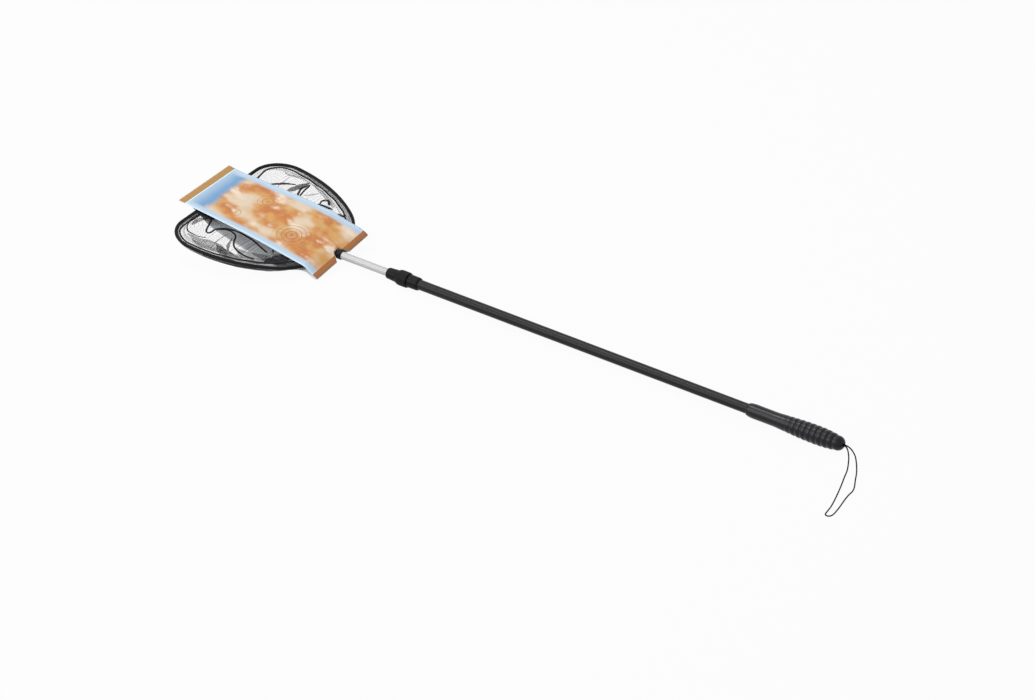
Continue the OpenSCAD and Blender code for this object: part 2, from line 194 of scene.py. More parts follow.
class Wire:
    """A socket in a material's nodes: sums and products of wires and numbers add Math nodes"""

    def __init__(self, tree, socket=None):
        self.tree = tree
        self.socket = socket

    def node(self, kind, settings=None, inputs=None, out=0):
        """Adds a node, makes its settings, fills its sockets with values or links and gives one output"""
        made = self.tree.nodes.new(kind)
        for name, value in (settings or {}).items():
            setattr(made, name, value)
        for name, value in (inputs or {}).items():
            if isinstance(value, Wire):
                self.tree.links.new(value.socket, made.inputs[name])
            else:
                made.inputs[name].default_value = value
        return Wire(self.tree, made.outputs[out] if made.outputs else None)

    def math(self, operation, first, second=0.0):
        return self.node("ShaderNodeMath", {"operation": operation}, {0: first, 1: second})

    def __add__(self, other):
        return self.math("ADD", self, other)

    def __radd__(self, other):
        return self.math("ADD", other, self)

    def __sub__(self, other):
        return self.math("SUBTRACT", self, other)

    def __rsub__(self, other):
        return self.math("SUBTRACT", other, self)

    def __mul__(self, other):
        return self.math("MULTIPLY", self, other)

    def __rmul__(self, other):
        return self.math("MULTIPLY", other, self)

    def __truediv__(self, other):
        return self.math("DIVIDE", self, other)

    def __gt__(self, other):
        return self.math("GREATER_THAN", self, other)

    def __lt__(self, other):
        return self.math("LESS_THAN", self, other)

    def __abs__(self):
        return self.math("ABSOLUTE", self)

    def over(self, other):
        return self.math("MAXIMUM", self, other)

    def sine(self):
        return self.math("SINE", self)

    def fraction(self):
        return self.math("FRACT", self)

    def ramp(self, low, high):
        """A smooth step from 0 at low to 1 at high"""
        return self.node("ShaderNodeMapRange", {"interpolation_type": "SMOOTHSTEP"}, {0: self, 1: low, 2: high})

    def blend(self, first, second):
        """A colour between two colours, with this wire as the share of the second"""
        return self.node("ShaderNodeMix", {"data_type": "RGBA"}, {0: self, 6: first, 7: second}, out=2)

    def place(self):
        """The point of the surface in the object's own space"""
        return self.node("ShaderNodeTexCoord", out="Object")

    def flat(self, name="flat"):
        """The point of the surface on a flat map, and its two parts"""
        point = self.node("ShaderNodeUVMap", {"uv_map": name})
        parts = self.node("ShaderNodeSeparateXYZ", None, {0: point}).socket.node.outputs
        return point, Wire(self.tree, parts["X"]), Wire(self.tree, parts["Y"])

    def grain(self, vector, scale, detail):
        return self.node("ShaderNodeTexNoise", None, {"Vector": vector, "Scale": scale, "Detail": detail})

    def stretch(self, vector, scale):
        return self.node("ShaderNodeMapping", None, {"Vector": vector, "Scale": scale})

    def bump(self, height, distance, strength):
        return self.node("ShaderNodeBump", None, {"Height": height, "Distance": distance, "Strength": strength})


def solid(shade, level=1.0):
    """A colour with its alpha, made lighter or darker by a level"""
    return (*(min(1.0, part * level) for part in shade), 1.0)


def material(look):
    """Makes a node material of a look, which gets a bare wire and gives a shader or its sockets by name"""

    @wraps(look)
    def make(name, *given):
        made = bpy.data.materials.new(name)
        made.use_nodes = True
        made.node_tree.nodes.clear()
        bare = Wire(made.node_tree)
        shader = look(bare, *given)
        if not isinstance(shader, Wire):
            shader = bare.node("ShaderNodeBsdfPrincipled", None, shader)
        bare.node("ShaderNodeOutputMaterial", None, {"Surface": shader})
        return made

    return make


@material
def coated_tube(bare, shade):
    """Satin coating on drawn tube: faint lengthwise streaks and fine grain"""
    at = bare.place()
    streaks = bare.grain(bare.stretch(at, (9.0, 700.0, 700.0)), 1.0, 4.0)
    grain = bare.grain(at, 2600.0, 2.0)
    return {
        "Base Color": streaks.blend(solid(shade, 0.82), solid(shade, 1.22)),
        "Roughness": 0.28 + 0.10 * streaks,
        "Specular IOR Level": 0.15,
        "Normal": bare.bump(grain, 0.00002, 0.5),
    }


@material
def satin_metal(bare, shade):
    """Satin anodised metal: fine rings and streaks from drawing"""
    at = bare.place()
    streaks = bare.grain(bare.stretch(at, (14.0, 1100.0, 1100.0)), 1.0, 5.0)
    clouds = bare.grain(at, 60.0, 2.0)
    return {
        "Base Color": streaks.blend(solid(shade, 0.93), solid(shade, 1.07)),
        "Metallic": 0.1,
        "Roughness": 0.32 + 0.10 * streaks + 0.06 * clouds,
        "Specular IOR Level": 0.04,
        "Normal": bare.bump(streaks, 0.00003, 0.4),
    }


@material
def moulded(bare, shade, rough, grain_size=1500.0, gloss=0.14):
    """Moulded plastic or rubber: fine spark-eroded grain, cloudy gloss and lighter worn spots"""
    at = bare.place()
    grain = bare.grain(at, grain_size, 3.0)
    clouds = bare.grain(at, 90.0, 3.0)
    return {
        "Base Color": clouds.blend(solid(shade, 0.8), solid(shade, 1.25)),
        "Roughness": rough + 0.16 * clouds,
        "Specular IOR Level": gloss,
        "Normal": bare.bump(grain, 0.00005, 0.6),
    }


@material
def twisted_cord(bare, shade, lay):
    """Laid cord: three strands of fine slanting yarns"""
    _, along, turn = bare.flat()
    yarns = ((along / lay * 3.0 + turn * 14.0) * math.tau).sine()
    fuzz = bare.grain(bare.place(), 2400.0, 2.0)
    return {
        "Base Color": (0.5 + 0.3 * yarns + 0.4 * (fuzz - 0.5)).blend(solid(shade, 0.7), solid(shade, 1.4)),
        "Roughness": 0.62 + 0.2 * fuzz,
        "Specular IOR Level": 0.08,
        "Normal": bare.bump(yarns + fuzz, 0.00012, 0.7),
    }


@material
def woven_tape(bare, shade):
    """Plain woven tape: crossing yarns along and across the flat map, with fuzz"""
    _, along, across = bare.flat()
    yarn = 0.0007
    weave = (along * (math.pi / yarn)).sine() * (across * (math.pi / yarn)).sine()
    fuzz = bare.grain(bare.place(), 1800.0, 2.0)
    return {
        "Base Color": (0.5 + 0.35 * weave + 0.5 * (fuzz - 0.5)).blend(solid(shade, 0.55), solid(shade, 1.9)),
        "Roughness": 0.68 + 0.2 * fuzz,
        "Specular IOR Level": 0.15,
        "Normal": bare.bump(weave + fuzz, 0.00015, 0.6),
    }


@material
def net_thread(bare, shade, pitch, width):
    """Square netting: thread lines on the flat map with a small knot at each crossing, clear between.
    The crowd map says how closely the threads are gathered."""
    _, along, across = bare.flat()
    at = bare.place()
    wander = 0.10 * (bare.grain(at, 170.0, 1.0) - 0.5)
    off_along = abs((along / pitch + wander).fraction() - 0.5)
    off_across = abs((across / pitch - wander).fraction() - 0.5)
    half = bare.flat("crowd")[1] * (0.5 * width / pitch)
    lines = (off_along < half).over(off_across < half)
    knots = (off_along * off_along + off_across * off_across) < half * half * 3.6
    fuzz = bare.grain(at, 1500.0, 2.0)
    return {
        "Base Color": fuzz.blend(solid(shade, 0.6), solid(shade, 1.6)),
        "Roughness": 0.6 + 0.25 * fuzz,
        "Specular IOR Level": 0.25,
        "Alpha": lines.over(knots),
    }


# Ripple rings of the print: place from the tip and the near side, reach and strength
RIPPLES = [((0.222, 0.052, 0.0), 0.046, 0.75), ((0.128, 0.103, 0.0), 0.032, 0.6), ((0.100, 0.040, 0.0), 0.022, 0.5)]
RIPPLE_STEP = 0.0085


@material
def printed_side(bare, card, calm):
    """The card's printed side: end bands, the neck band with painted shade, pale borders, warm patches, water and
    ripple rings
    """
    flat, along, across = bare.flat()
    patches = bare.grain(bare.stretch(flat, (13.0, 19.0, 1.0)), 1.0, 2.0)
    drift = bare.grain(bare.stretch(flat, (24.0, 34.0, 1.0)), 1.0, 3.0)
    speckle = bare.grain(flat, 420.0, 3.0)
    ground = (patches + 0.25 * drift).ramp(0.47, 0.66).blend(solid(card.cream), solid(card.gold))
    ground = (drift * 0.7 + patches * 0.6).ramp(0.60, 0.75).blend(ground, solid(card.orange))
    ground = (drift - 0.5 * patches).ramp(0.28, 0.46).blend(ground, solid(card.cream, 1.14))
    for centre, spread, level in RIPPLES:
        away = bare.node("ShaderNodeVectorMath", {"operation": "DISTANCE"}, {0: flat, 1: centre}, out="Value")
        away = away + 0.004 * (drift - 0.5)
        rings = (away * (math.tau / RIPPLE_STEP)).sine().ramp(0.55, 0.98) * away.ramp(spread, 0.3 * spread)
        ground = (rings * (level * calm)).blend(ground, solid(card.brown))
    water = (along + 0.010 * (drift - 0.5)).ramp(card.tip_band - 0.006, card.tip_band + 0.030)
    water_tint = water.blend(solid(card.pale_blue), solid(card.blue))
    shore = (along + 0.02 * (drift - 0.5)).ramp(card.tip_band + 0.028, card.tip_band + 0.046)
    ground = shore.blend(water_tint, ground)
    edge = abs(across - 0.5 * card.width)
    half = 0.5 * card.width
    ground = (edge + 0.006 * (drift - 0.5)).ramp(half - 0.019, half - 0.010).blend(ground, solid(card.pale_blue))
    ground = edge.ramp(half - 0.009, half).blend(ground, solid(card.pale_blue, 1.25))
    foil = (speckle * 1.5 - 0.25).blend(solid(card.gold, 0.48), solid(card.gold, 0.95))
    ground = (along < card.tip_band + 0.0022).blend(ground, solid(card.pale_blue, 1.45))
    ground = (along < card.tip_band).blend(ground, foil)
    # The neck band: the print's brown with random speckle, which also stands as painted shade of the card's fold at the
    # neck end
    neck_print_and_shade = (speckle * 0.8 + 0.1).blend(solid(card.brown, 0.92), solid(card.brown, 1.1))
    ground = (along > card.reach + card.tail - card.neck_band).blend(ground, neck_print_and_shade)
    return {
        "Base Color": ground,
        "Roughness": 0.36 + 0.14 * drift,
        "Specular IOR Level": 0.35,
        "Normal": bare.bump(bare.grain(flat, 900.0, 2.0), 0.00002, 0.3),
    }


@material
def bare_paper(bare, shade):
    """Uncoated side and edges of the card: pale board with fibres"""
    at = bare.place()
    fibres = bare.grain(bare.stretch(at, (300.0, 900.0, 900.0)), 1.0, 4.0)
    clouds = bare.grain(at, 25.0, 2.0)
    return {
        "Base Color": (0.6 * fibres + 0.4 * clouds).blend(solid(shade, 0.92), solid(shade, 1.08)),
        "Roughness": 0.72 + 0.15 * fibres,
        "Normal": bare.bump(fibres, 0.00003, 0.4),
    }


@contextmanager
def edited(mesh):
    """A mesh opened for editing, and written back at the end"""
    edit = bmesh.new()
    edit.from_mesh(mesh)
    yield edit
    edit.to_mesh(mesh)
    edit.free()


def flat_map(along, across):
    """Corners of a flat map: a row for each place along, a column for each place across"""
    return np.stack(np.meshgrid(along, across, indexing="ij"), axis=2)


def ring_angles(sides):
    """Angles of the sides round a section"""
    return np.linspace(0.0, math.tau, sides, endpoint=False)


def headings(line):
    """Direction of a line at each of its points"""
    ahead = np.gradient(line, axis=0)
    return ahead / np.linalg.norm(ahead, axis=1)[:, None]


def surface(name, *grids, wrap=False, loop=False, caps=False, keep=None):
    """A mesh object of grids, each with points, rows by columns by 3, and a flat map of its corners, which may
    give the crowding of the threads as its third part.
    wrap joins the last column to the first, loop the last row to the first; caps close open ends."""
    points, faces, places, ends, first = [], [], [], [], 0
    for spots, flat in grids:
        rows, columns = spots.shape[:2]
        row, column = np.meshgrid(
            np.arange(rows if loop else rows - 1), np.arange(columns if wrap else columns - 1), indexing="ij"
        )
        if keep is not None:
            row, column = row[keep], column[keep]
        row, column = row.ravel(), column.ravel()
        next_row, next_column = (row + 1) % rows, (column + 1) % columns
        corners = [(row, column), (row, next_column), (next_row, next_column), (next_row, column)]
        faces += np.stack([first + r * columns + c for r, c in corners], axis=1).tolist()
        corners = [(row, column), (row, column + 1), (row + 1, column + 1), (row + 1, column)]
        places.append(np.stack([flat[r, c] for r, c in corners], axis=1).reshape(-1, flat.shape[2]))
        if caps:
            ring = first + np.arange(columns)
            ends += [ring[::-1].tolist(), (ring + (rows - 1) * columns).tolist()]
        points.append(spots.reshape(-1, 3))
        first += rows * columns
    mesh = bpy.data.meshes.new(name)
    mesh.from_pydata(np.vstack(points).tolist(), [], faces + ends)
    places = np.vstack(places)
    every = np.zeros((len(mesh.loops), places.shape[1]))
    every[: len(places)] = places
    mesh.uv_layers.new(name="flat").data.foreach_set("uv", every[:, :2].ravel())
    if places.shape[1] > 2:
        mesh.uv_layers.new(name="crowd").data.foreach_set("uv", every[:, [2, 2]].ravel())
    made = bpy.data.objects.new(name, mesh)
    bpy.context.scene.collection.objects.link(made)
    with edited(mesh) as edit:
        bmesh.ops.delete(edit, geom=[v for v in edit.verts if not v.link_faces], context="VERTS")
        if wrap and (loop or caps):
            bmesh.ops.recalc_face_normals(edit, faces=edit.faces)
    mesh.shade_smooth()
    return made


def mesh_area(made):
    """Area of all faces of a piece"""
    return sum(face.area for face in made.data.polygons)


def dress(made, finish, body, slot, *nodes):
    """Gives a new piece its finish, the body that it rides on and the nodes that it stands for"""
    for each in finish if isinstance(finish, list) else [finish]:
        made.data.materials.append(each)
    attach(made, body)
    if nodes:
        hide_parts(*nodes)
    return made


def coat(finish, *nodes):
    """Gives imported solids, which stay as they are, their finish"""
    for node in nodes:
        NODES[node].data.materials.clear()
        NODES[node].data.materials.append(finish)


def smooth_line(points, steps):
    """A smooth line through given points, with steps between each two"""
    points = np.asarray(points, float)
    before = np.vstack([points[:1], points[:-2]])
    after = np.vstack([points[2:], points[-1:]])
    first, second = points[:-1], points[1:]
    shares = np.linspace(0.0, 1.0, steps, endpoint=False)[None, :, None]
    a, b, c, d = (part[:, None, :] for part in (before, first, second, after))
    line = (
        2 * b
        + (c - a) * shares
        + (2 * a - 5 * b + 4 * c - d) * shares**2
        + (3 * b - a - 3 * c + d) * shares**3
    ) / 2
    return np.vstack([line.reshape(-1, points.shape[1]), points[-1:]])


def run_length(line):
    """Length along a line up to each of its points"""
    return np.concatenate([[0.0], np.cumsum(np.linalg.norm(np.diff(line, axis=0), axis=1))])


def even_line(line, count):
    """The same line with points at even steps"""
    gone = run_length(line)
    even = np.linspace(0.0, gone[-1], count)
    return np.stack([np.interp(even, gone, line[:, k]) for k in range(line.shape[1])], axis=1)


def lathe(name, profile, sides, ripple=None):
    """A closed profile of (place along the shaft, radius), turned round the shaft's axis.
    ripple gives what is added to the radius at each place and angle."""
    profile = np.asarray(profile, float)
    angles = ring_angles(sides)
    along = np.repeat(profile[:, :1], sides, axis=1)
    radius = np.repeat(profile[:, 1:2], sides, axis=1)
    if ripple is not None:
        radius = radius + ripple(along, radius, angles[None, :])
    points = np.stack([COLLAR_X + along, radius * np.cos(angles), AXIS_Z + radius * np.sin(angles)], axis=2)
    gone = np.append(run_length(profile), run_length(profile)[-1])
    map_radius = 0.01
    flat = flat_map(gone, np.linspace(0.0, math.tau, sides + 1) * map_radius)
    return surface(name, (points, flat), wrap=True, loop=True)


def hoop_place(hoop, u, v, w):
    """Points of the hoop's pitched plane: u towards the tip, v across, w up from the plane"""
    u, v, w = np.broadcast_arrays(u, v, w)
    lean, rise = math.cos(hoop.pitch), math.sin(hoop.pitch)
    return np.stack([COLLAR_X - u * lean + w * rise, v, AXIS_Z + u * rise + w * lean], axis=-1)


def on_plane(u, v):
    """Places in the hoop's plane as points, for soft noise"""
    return np.stack([u, v, np.zeros_like(u)], axis=-1)


def arc(centre, radius, start, end):
    """Points on an arc in the hoop's plane, between two angles in degrees"""
    step = 0.0005
    count = max(3, int(radius * abs(math.radians(end - start)) / step))
    angles = np.radians(np.linspace(start, end, count))
    return np.stack([centre[0] + radius * np.cos(angles), centre[1] + radius * np.sin(angles)], axis=1)


class RimLine:
    """The rod's line in the hoop's plane, from the middle of the neck side round by the far side"""

    def __init__(self, hoop):
        # A shoulder meets the flat arc of the side in this direction from the side's centre
        back, across, steps = 0.6, 0.8, 4001
        side_u = hoop.bar - hoop.corner_radius
        side_radius = hoop.shoulder_radius + (side_u - hoop.base - hoop.shoulder_radius) / back
        side = np.array([side_u, hoop.half_width - side_radius])
        shoulder = side + (side_radius - hoop.shoulder_radius) * np.array([-back, across])
        corner = np.array([side_u, hoop.half_width - hoop.corner_radius])
        turned = 180.0 - math.degrees(math.atan2(across, back))
        half = np.vstack(
            [
                [[hoop.base, 0.0]],
                arc(shoulder, hoop.shoulder_radius, 180.0, turned),
                arc(side, side_radius, turned, 90.0)[1:],
                arc(corner, hoop.corner_radius, 90.0, 0.0)[1:],
                [[hoop.bar, 0.0]],
            ]
        )
        line = np.vstack([half, half[-2::-1] * [1, -1]])
        self.total = run_length(line)[-1]
        line = even_line(line, steps)
        self.gone = np.linspace(0.0, self.total, steps)
        ahead = np.roll(line[:-1], -1, axis=0) - np.roll(line[:-1], 1, axis=0)
        ahead = np.vstack([ahead, ahead[:1]])
        ahead /= np.linalg.norm(ahead, axis=1)[:, None]
        self.columns = np.hstack([line, ahead[:, 1:], -ahead[:, :1]])

    def at(self, gone):
        """Place on the line and direction inwards, as four arrays"""
        gone = np.mod(gone, self.total)
        return [np.interp(gone, self.gone, self.columns[:, k]) for k in range(4)]

    def from_neck(self, gone):
        """Distance from the neck's middle along the nearer way round"""
        return np.minimum(gone, self.total - gone)


def waver(places, size, seed=0.0):
    """Soft noise from -1 to 1 at points, with features of about a size"""
    places = np.asarray(places, float)
    flat = places.reshape(-1, 3) / size + seed
    return np.array([noise.noise(Vector(place)) for place in flat]).reshape(places.shape[:-1])


WHITE = (1.0, 1.0, 1.0, 1.0)

# Diameter and place of each lamp
TOP_LAMP = (1.2, (-1.3, 0.0, 2.8))
FRONT_LAMP = (2.8, (-1.5, -2.5, 1.9))

# How far the floor lies under the part, and the share of its own shade that is seen
FLOOR_DROP = 0.0003
SHADE_SHARE = 0.05


def seen(bare):
    """1 for rays that show the surround itself: straight, mirrored or through something clear"""
    rays = [bare.node("ShaderNodeLightPath", out=f"Is {kind} Ray") for kind in ("Camera", "Glossy", "Transmission")]
    return rays[0].over(rays[1]).over(rays[2])


@material
def white_floor(bare, shade):
    """Matt floor that shows white, with a share of its own shade"""
    matt = {"Base Color": solid(shade), "Roughness": 0.9, "Specular IOR Level": 0.0}
    own = bare.node("ShaderNodeBsdfPrincipled", None, matt)
    glow = bare.node("ShaderNodeEmission", None, {"Color": WHITE, "Strength": 1.0})
    return bare.node("ShaderNodeMixShader", None, {0: seen(bare) * (1 - SHADE_SHARE), 1: own, 2: glow})


class POND_OT_stage(bpy.types.Operator):
    """Makes the floor, the soft light, the white surround and the camera"""

    bl_idname = "pond.stage"
    bl_label = "Stage"

    def execute(self, context):
        stage = context.scene.pond_stage
        context.scene.view_settings.view_transform = "Standard"
        for left_over in [o for o in bpy.data.objects if o.name in ("Cube", "Light", "Camera")]:
            bpy.data.objects.remove(left_over)
        self.make_floor(stage)
        self.make_sky(context.scene, stage)
        self.make_lamp("top_lamp", stage.top_power, *TOP_LAMP)
        self.make_lamp("front_lamp", stage.front_power, *FRONT_LAMP)
        self.make_camera(context.scene, stage)
        return {"FINISHED"}

    def make_floor(self, stage):
        """The square floor under the part"""
        side = np.linspace(-0.5, 0.5, 13) * stage.floor_size
        flat = flat_map(side, side)
        floor = surface("floor", (np.dstack([flat, np.full(flat.shape[:2], -FLOOR_DROP)]), flat))
        floor.data.flip_normals()
        floor.data.materials.append(white_floor("pale_floor", stage.floor_white))

    def make_sky(self, scene, stage):
        """A surround that shows white and lights the object at a level of its own"""
        sky = bpy.data.worlds.new("soft_surround")
        sky.use_nodes = True
        sky.node_tree.nodes.clear()
        bare = Wire(sky.node_tree)
        light = bare.node("ShaderNodeBackground", None, {0: WHITE, 1: stage.sky_level})
        white = bare.node("ShaderNodeBackground", None, {0: WHITE, 1: 1.0})
        mixed = bare.node("ShaderNodeMixShader", None, {0: seen(bare), 1: light, 2: white})
        bare.node("ShaderNodeOutputWorld", None, {"Surface": mixed})
        scene.world = sky

    def make_lamp(self, name, power, size, place):
        """A round soft lamp that points at the object"""
        lamp = bpy.data.lights.new(name, "AREA")
        lamp.shape = "DISK"
        lamp.size = size
        lamp.energy = power
        stand = bpy.data.objects.new(name, lamp)
        stand.location = place
        stand.rotation_euler = (-stand.location).to_track_quat("-Z", "Y").to_euler()
        bpy.context.scene.collection.objects.link(stand)

    def make_camera(self, scene, stage):
        """The photograph's view, from far away"""
        ahead = Vector(
            (
                -math.sin(stage.azimuth) * math.cos(stage.elevation),
                math.cos(stage.azimuth) * math.cos(stage.elevation),
                -math.sin(stage.elevation),
            )
        )
        lens = bpy.data.cameras.new("photo_camera")
        lens.sensor_width = 36.0
        lens.lens = lens.sensor_width * stage.distance / stage.view_width
        camera = bpy.data.objects.new("photo_camera", lens)
        camera.location = Vector(stage.target) - ahead * stage.distance
        camera.rotation_euler = ahead.to_track_quat("-Z", "Y").to_euler()
        scene.collection.objects.link(camera)
        scene.camera = camera


# The lanyard's route: X from the grip's end, Y, and height over the floor
LANYARD_ROUTE = [
    (-0.014, 0.0016, 0.0175), (-0.006, 0.0016, 0.0175), (0.002, 0.0016, 0.0175), (0.009, 0.0008, 0.017),
    (0.018, -0.0013, 0.0145), (0.0289, -0.0069, 0.0095), (0.0375, -0.0152, 0.0045), (0.0466, -0.0266, 0.0016),
    (0.058, -0.043, 0.0013), (0.071, -0.065, 0.0013), (0.082, -0.083, 0.0013), (0.088, -0.097, 0.0013),
    (0.090, -0.112, 0.0013), (0.094, -0.130, 0.0013), (0.099, -0.148, 0.0013), (0.103, -0.164, 0.0013),
    (0.1055, -0.177, 0.0013), (0.106, -0.1855, 0.0013), (0.1041, -0.1901, 0.0013), (0.0995, -0.192, 0.0013),
    (0.0949, -0.1901, 0.0013), (0.0926, -0.1845, 0.0013), (0.0903, -0.174, 0.0013), (0.086, -0.158, 0.0013),
    (0.076, -0.131, 0.0013), (0.062, -0.097, 0.0013), (0.049, -0.068, 0.0013), (0.040, -0.047, 0.0016),
    (0.0323, -0.0325, 0.0045), (0.0241, -0.0194, 0.0095), (0.0157, -0.0097, 0.0145), (0.0082, -0.0036, 0.017),
    (0.002, -0.0016, 0.0175), (-0.006, -0.0016, 0.0175), (-0.014, -0.0016, 0.0175),
]


class POND_OT_lanyard(bpy.types.Operator):
    """Makes the laid cord of the wrist loop, and finishes its knot inside the grip"""

    bl_idname = "pond.lanyard"
    bl_label = "Lanyard"

    def execute(self, context):
        handle = context.scene.pond_handle
        end = Vector((COLLAR_X + handle.grip_start + handle.grip_length, 0.0, 0.0))
        line = smooth_line(LANYARD_ROUTE, 8) + np.array(end)
        step, sides, strands, swell = 0.0009, 12, 3, 0.075
        line = even_line(line, int(run_length(line)[-1] / step))
        gone = run_length(line)
        ahead = headings(line)
        across = np.cross(ahead, [0.0, 0.0, 1.0])
        across /= np.linalg.norm(across, axis=1)[:, None]
        over = np.cross(across, ahead)
        angles = ring_angles(sides)
        twist = math.tau * gone[:, None] / handle.cord_twist
        radius = 0.5 * handle.cord_diameter * (1.0 + swell * np.cos(strands * (angles[None, :] - twist)))
        points = line[:, None, :] + radius[:, :, None] * (
            np.cos(angles)[None, :, None] * across[:, None, :] + np.sin(angles)[None, :, None] * over[:, None, :]
        )
        flat = flat_map(gone, np.linspace(0.0, 1.0, sides + 1))
        made = surface("lanyard_loop", (points, flat), wrap=True, caps=True)
        finish = twisted_cord("twisted_cord", handle.cord_black, handle.cord_twist)
        dress(made, finish, "handle", "lanyard", "lanyard_cord")
        coat(moulded("knot_yarn", handle.cord_black, 0.7, 1900.0), "lanyard_knot")
        return {"FINISHED"}


class POND_OT_tubes(bpy.types.Operator):
    """Finishes the outer and inner tube and the plugs and bush inside them"""

    bl_idname = "pond.tubes"
    bl_label = "Tubes"

    def execute(self, context):
        handle = context.scene.pond_handle
        coat(coated_tube("coated_tube", handle.tube_black), "outer_tube")
        coat(satin_metal("satin_metal", handle.tube_silver), "inner_tube")
        coat(moulded("plug_plastic", handle.plastic_black, 0.5), "end_plug", "tail_plug")
        coat(moulded("nylon", handle.nylon_white, 0.45, 900.0), "guide_bush", "clamp_collet")
        return {"FINISHED"}


class POND_OT_grip(bpy.types.Operator):
    """Makes the ribbed rubber grip with its lip, belly, rounded end and cord hole"""

    bl_idname = "pond.grip"
    bl_label = "Grip"

    # The rounded end, from the front edge
    dome_start, dome_radius = 0.197, 0.0136

    def execute(self, context):
        handle = context.scene.pond_handle
        step, past = 0.00055, 0.0002
        x = np.arange(0.0, self.dome_start + past, step)
        outer = np.stack([x, self.radius(handle, x)], axis=1)
        dome_angle = np.radians(np.linspace(0.0, 74.6, 22))
        dome_x = self.dome_start + (handle.grip_length - self.dome_start) * np.sin(dome_angle)
        dome = np.stack([dome_x, self.dome_radius * np.cos(dome_angle)], axis=1)
        cord_hole, chamfer = 0.0035, 0.0006
        inside = [
            (dome_x[-1] - 0.0012, cord_hole), (dome_x[-1] - 0.006, cord_hole), (0.199, 0.0062), (0.1865, 0.0065),
            (0.186, TUBE_FIT), (0.09, TUBE_FIT), (chamfer, TUBE_FIT), (0.0, TUBE_FIT + chamfer),
        ]
        profile = np.vstack([outer, dome[1:], inside]) + [handle.grip_start, 0.0]

        def ripple(along, radius, angles):
            """Raised mould lines on both sides"""
            raised, width, outside = 0.00012, 0.035, 0.0099
            return np.where(radius > outside, raised * np.exp(-((np.sin(angles) / width) ** 2)), 0.0)

        made = lathe("rubber_grip", profile, 112, ripple)
        dress(made, moulded("grip_rubber", handle.rubber_black, 0.22, 1300.0, 0.25), "handle", "grip_rubber", "grip")
        return {"FINISHED"}

    def radius(self, handle, x):
        """Radius of the outside at a distance from the front edge"""
        lip_length, lip_radius, mouth = 0.018, 0.0135, 0.011
        settle_length, belly_start, belly_middle, last_groove = 0.006, 0.060, 0.146, 9
        lip = mouth + (lip_radius - mouth) * np.sqrt(np.clip(1 - (1 - x / lip_length) ** 2, 0.0, 1.0))
        settle = np.clip((x - lip_length) / settle_length, 0.0, 1.0)
        shank = lip_radius + (handle.shank_radius - lip_radius) * settle
        rise = np.clip((x - belly_start) / (belly_middle - belly_start), 0.0, 1.0)
        swell = np.sin(0.5 * math.pi * rise) ** 1.2
        belly = handle.shank_radius + (handle.belly_radius - handle.shank_radius) * swell
        fall = np.clip((x - belly_middle) / (self.dome_start - belly_middle), 0.0, 1.0)
        belly = belly - (handle.belly_radius - self.dome_radius) * fall**2.6
        from_first = (x - handle.rib_start) / handle.rib_pitch
        grooves = handle.groove * np.abs(np.cos(math.pi * from_first)) ** 4
        inside_ribs = (from_first > -0.5) & (from_first < last_groove + 0.5)
        outer = np.where(x < lip_length, lip, np.where(x < belly_start, shank, belly))
        return outer - np.where(inside_ribs, grooves * np.clip(0.4 + 0.3 * from_first, 0.4, 1.0), 0.0)


class POND_OT_twist_lock(bpy.types.Operator):
    """Makes the ribbed nut with its tapered nose, and the ferrule behind it"""

    bl_idname = "pond.twist_lock"
    bl_label = "Twist lock"

    def execute(self, context):
        handle = context.scene.pond_handle
        plastic = moulded("lock_plastic", handle.plastic_black, 0.34, 1700.0, 0.12)
        self.make_nut(handle, plastic)
        self.make_ferrule(plastic)
        return {"FINISHED"}

    def make_nut(self, handle, plastic):
        """The nut with its nose, ribbed barrel and bore"""
        full, bore, mouth = handle.nut_radius, 0.01015, 0.0074
        marks = [
            (0.005, 0.0088), (0.0054, 0.0095), (0.0066, 0.0102), (0.010, 0.0105), (0.016, 0.0109), (0.022, 0.0114),
            (0.026, 0.0118), (0.0278, 0.0122), (0.0292, 0.0131), (0.0308, 0.0139), (0.033, full - 0.0001),
            (0.036, full), (0.0405, full), (0.045, full), (0.049, full - 0.0001), (0.0506, full - 0.0005),
            (0.0516, full - 0.0012), (0.052, full - 0.0022),
        ]
        outer = even_line(smooth_line(marks, 8), 86)
        inside = [(0.052, bore), (0.0217, bore), (0.0065, 0.00805), (0.0065, mouth), (0.005, mouth)]
        profile = np.vstack([outer, inside]) + [handle.nut_start, 0.0]

        def ripple(along, radius, angles):
            """Grooves between the ribs of the barrel, fading out at its ends"""
            place = along - handle.nut_start
            front, back, run, depth, barrel = 0.0285, 0.0512, 0.003, 0.0009, 0.0112
            fade = np.clip((place - front) / run, 0.0, 1.0) * np.clip((back - place) / run, 0.0, 1.0)
            valley = np.maximum(np.cos(handle.nut_ribs * angles), 0.0) ** 2
            return np.where(radius > barrel, -depth * fade * valley, 0.0)

        made = lathe("lock_nut", profile, handle.nut_ribs * 10, ripple)
        dress(made, plastic, "nut", "clamp_plastic", "clamp_nut")

    def make_ferrule(self, plastic):
        """The ferrule with the spigot that the nut turns on"""
        start, end, step, spigot_end, spigot, bore = 0.1615, 0.0236, 0.0035, -0.0215, 0.01005, 0.0071
        marks = [
            (0.0, 0.0112), (0.0007, 0.0119), (0.0018, 0.0122), (0.008, 0.0122), (0.016, 0.0122), (0.0190, 0.0121),
            (0.0215, 0.0115), (0.0230, 0.0108), (end, 0.0101),
        ]
        inside = [
            (end, TUBE_FIT), (step, TUBE_FIT), (step, bore), (spigot_end, bore), (spigot_end, spigot), (0.0, spigot),
        ]
        made = lathe("lock_ferrule", np.vstack([smooth_line(marks, 7), inside]) + [start, 0.0], 96)
        dress(made, plastic, "handle", "clamp_plastic", "clamp_base")


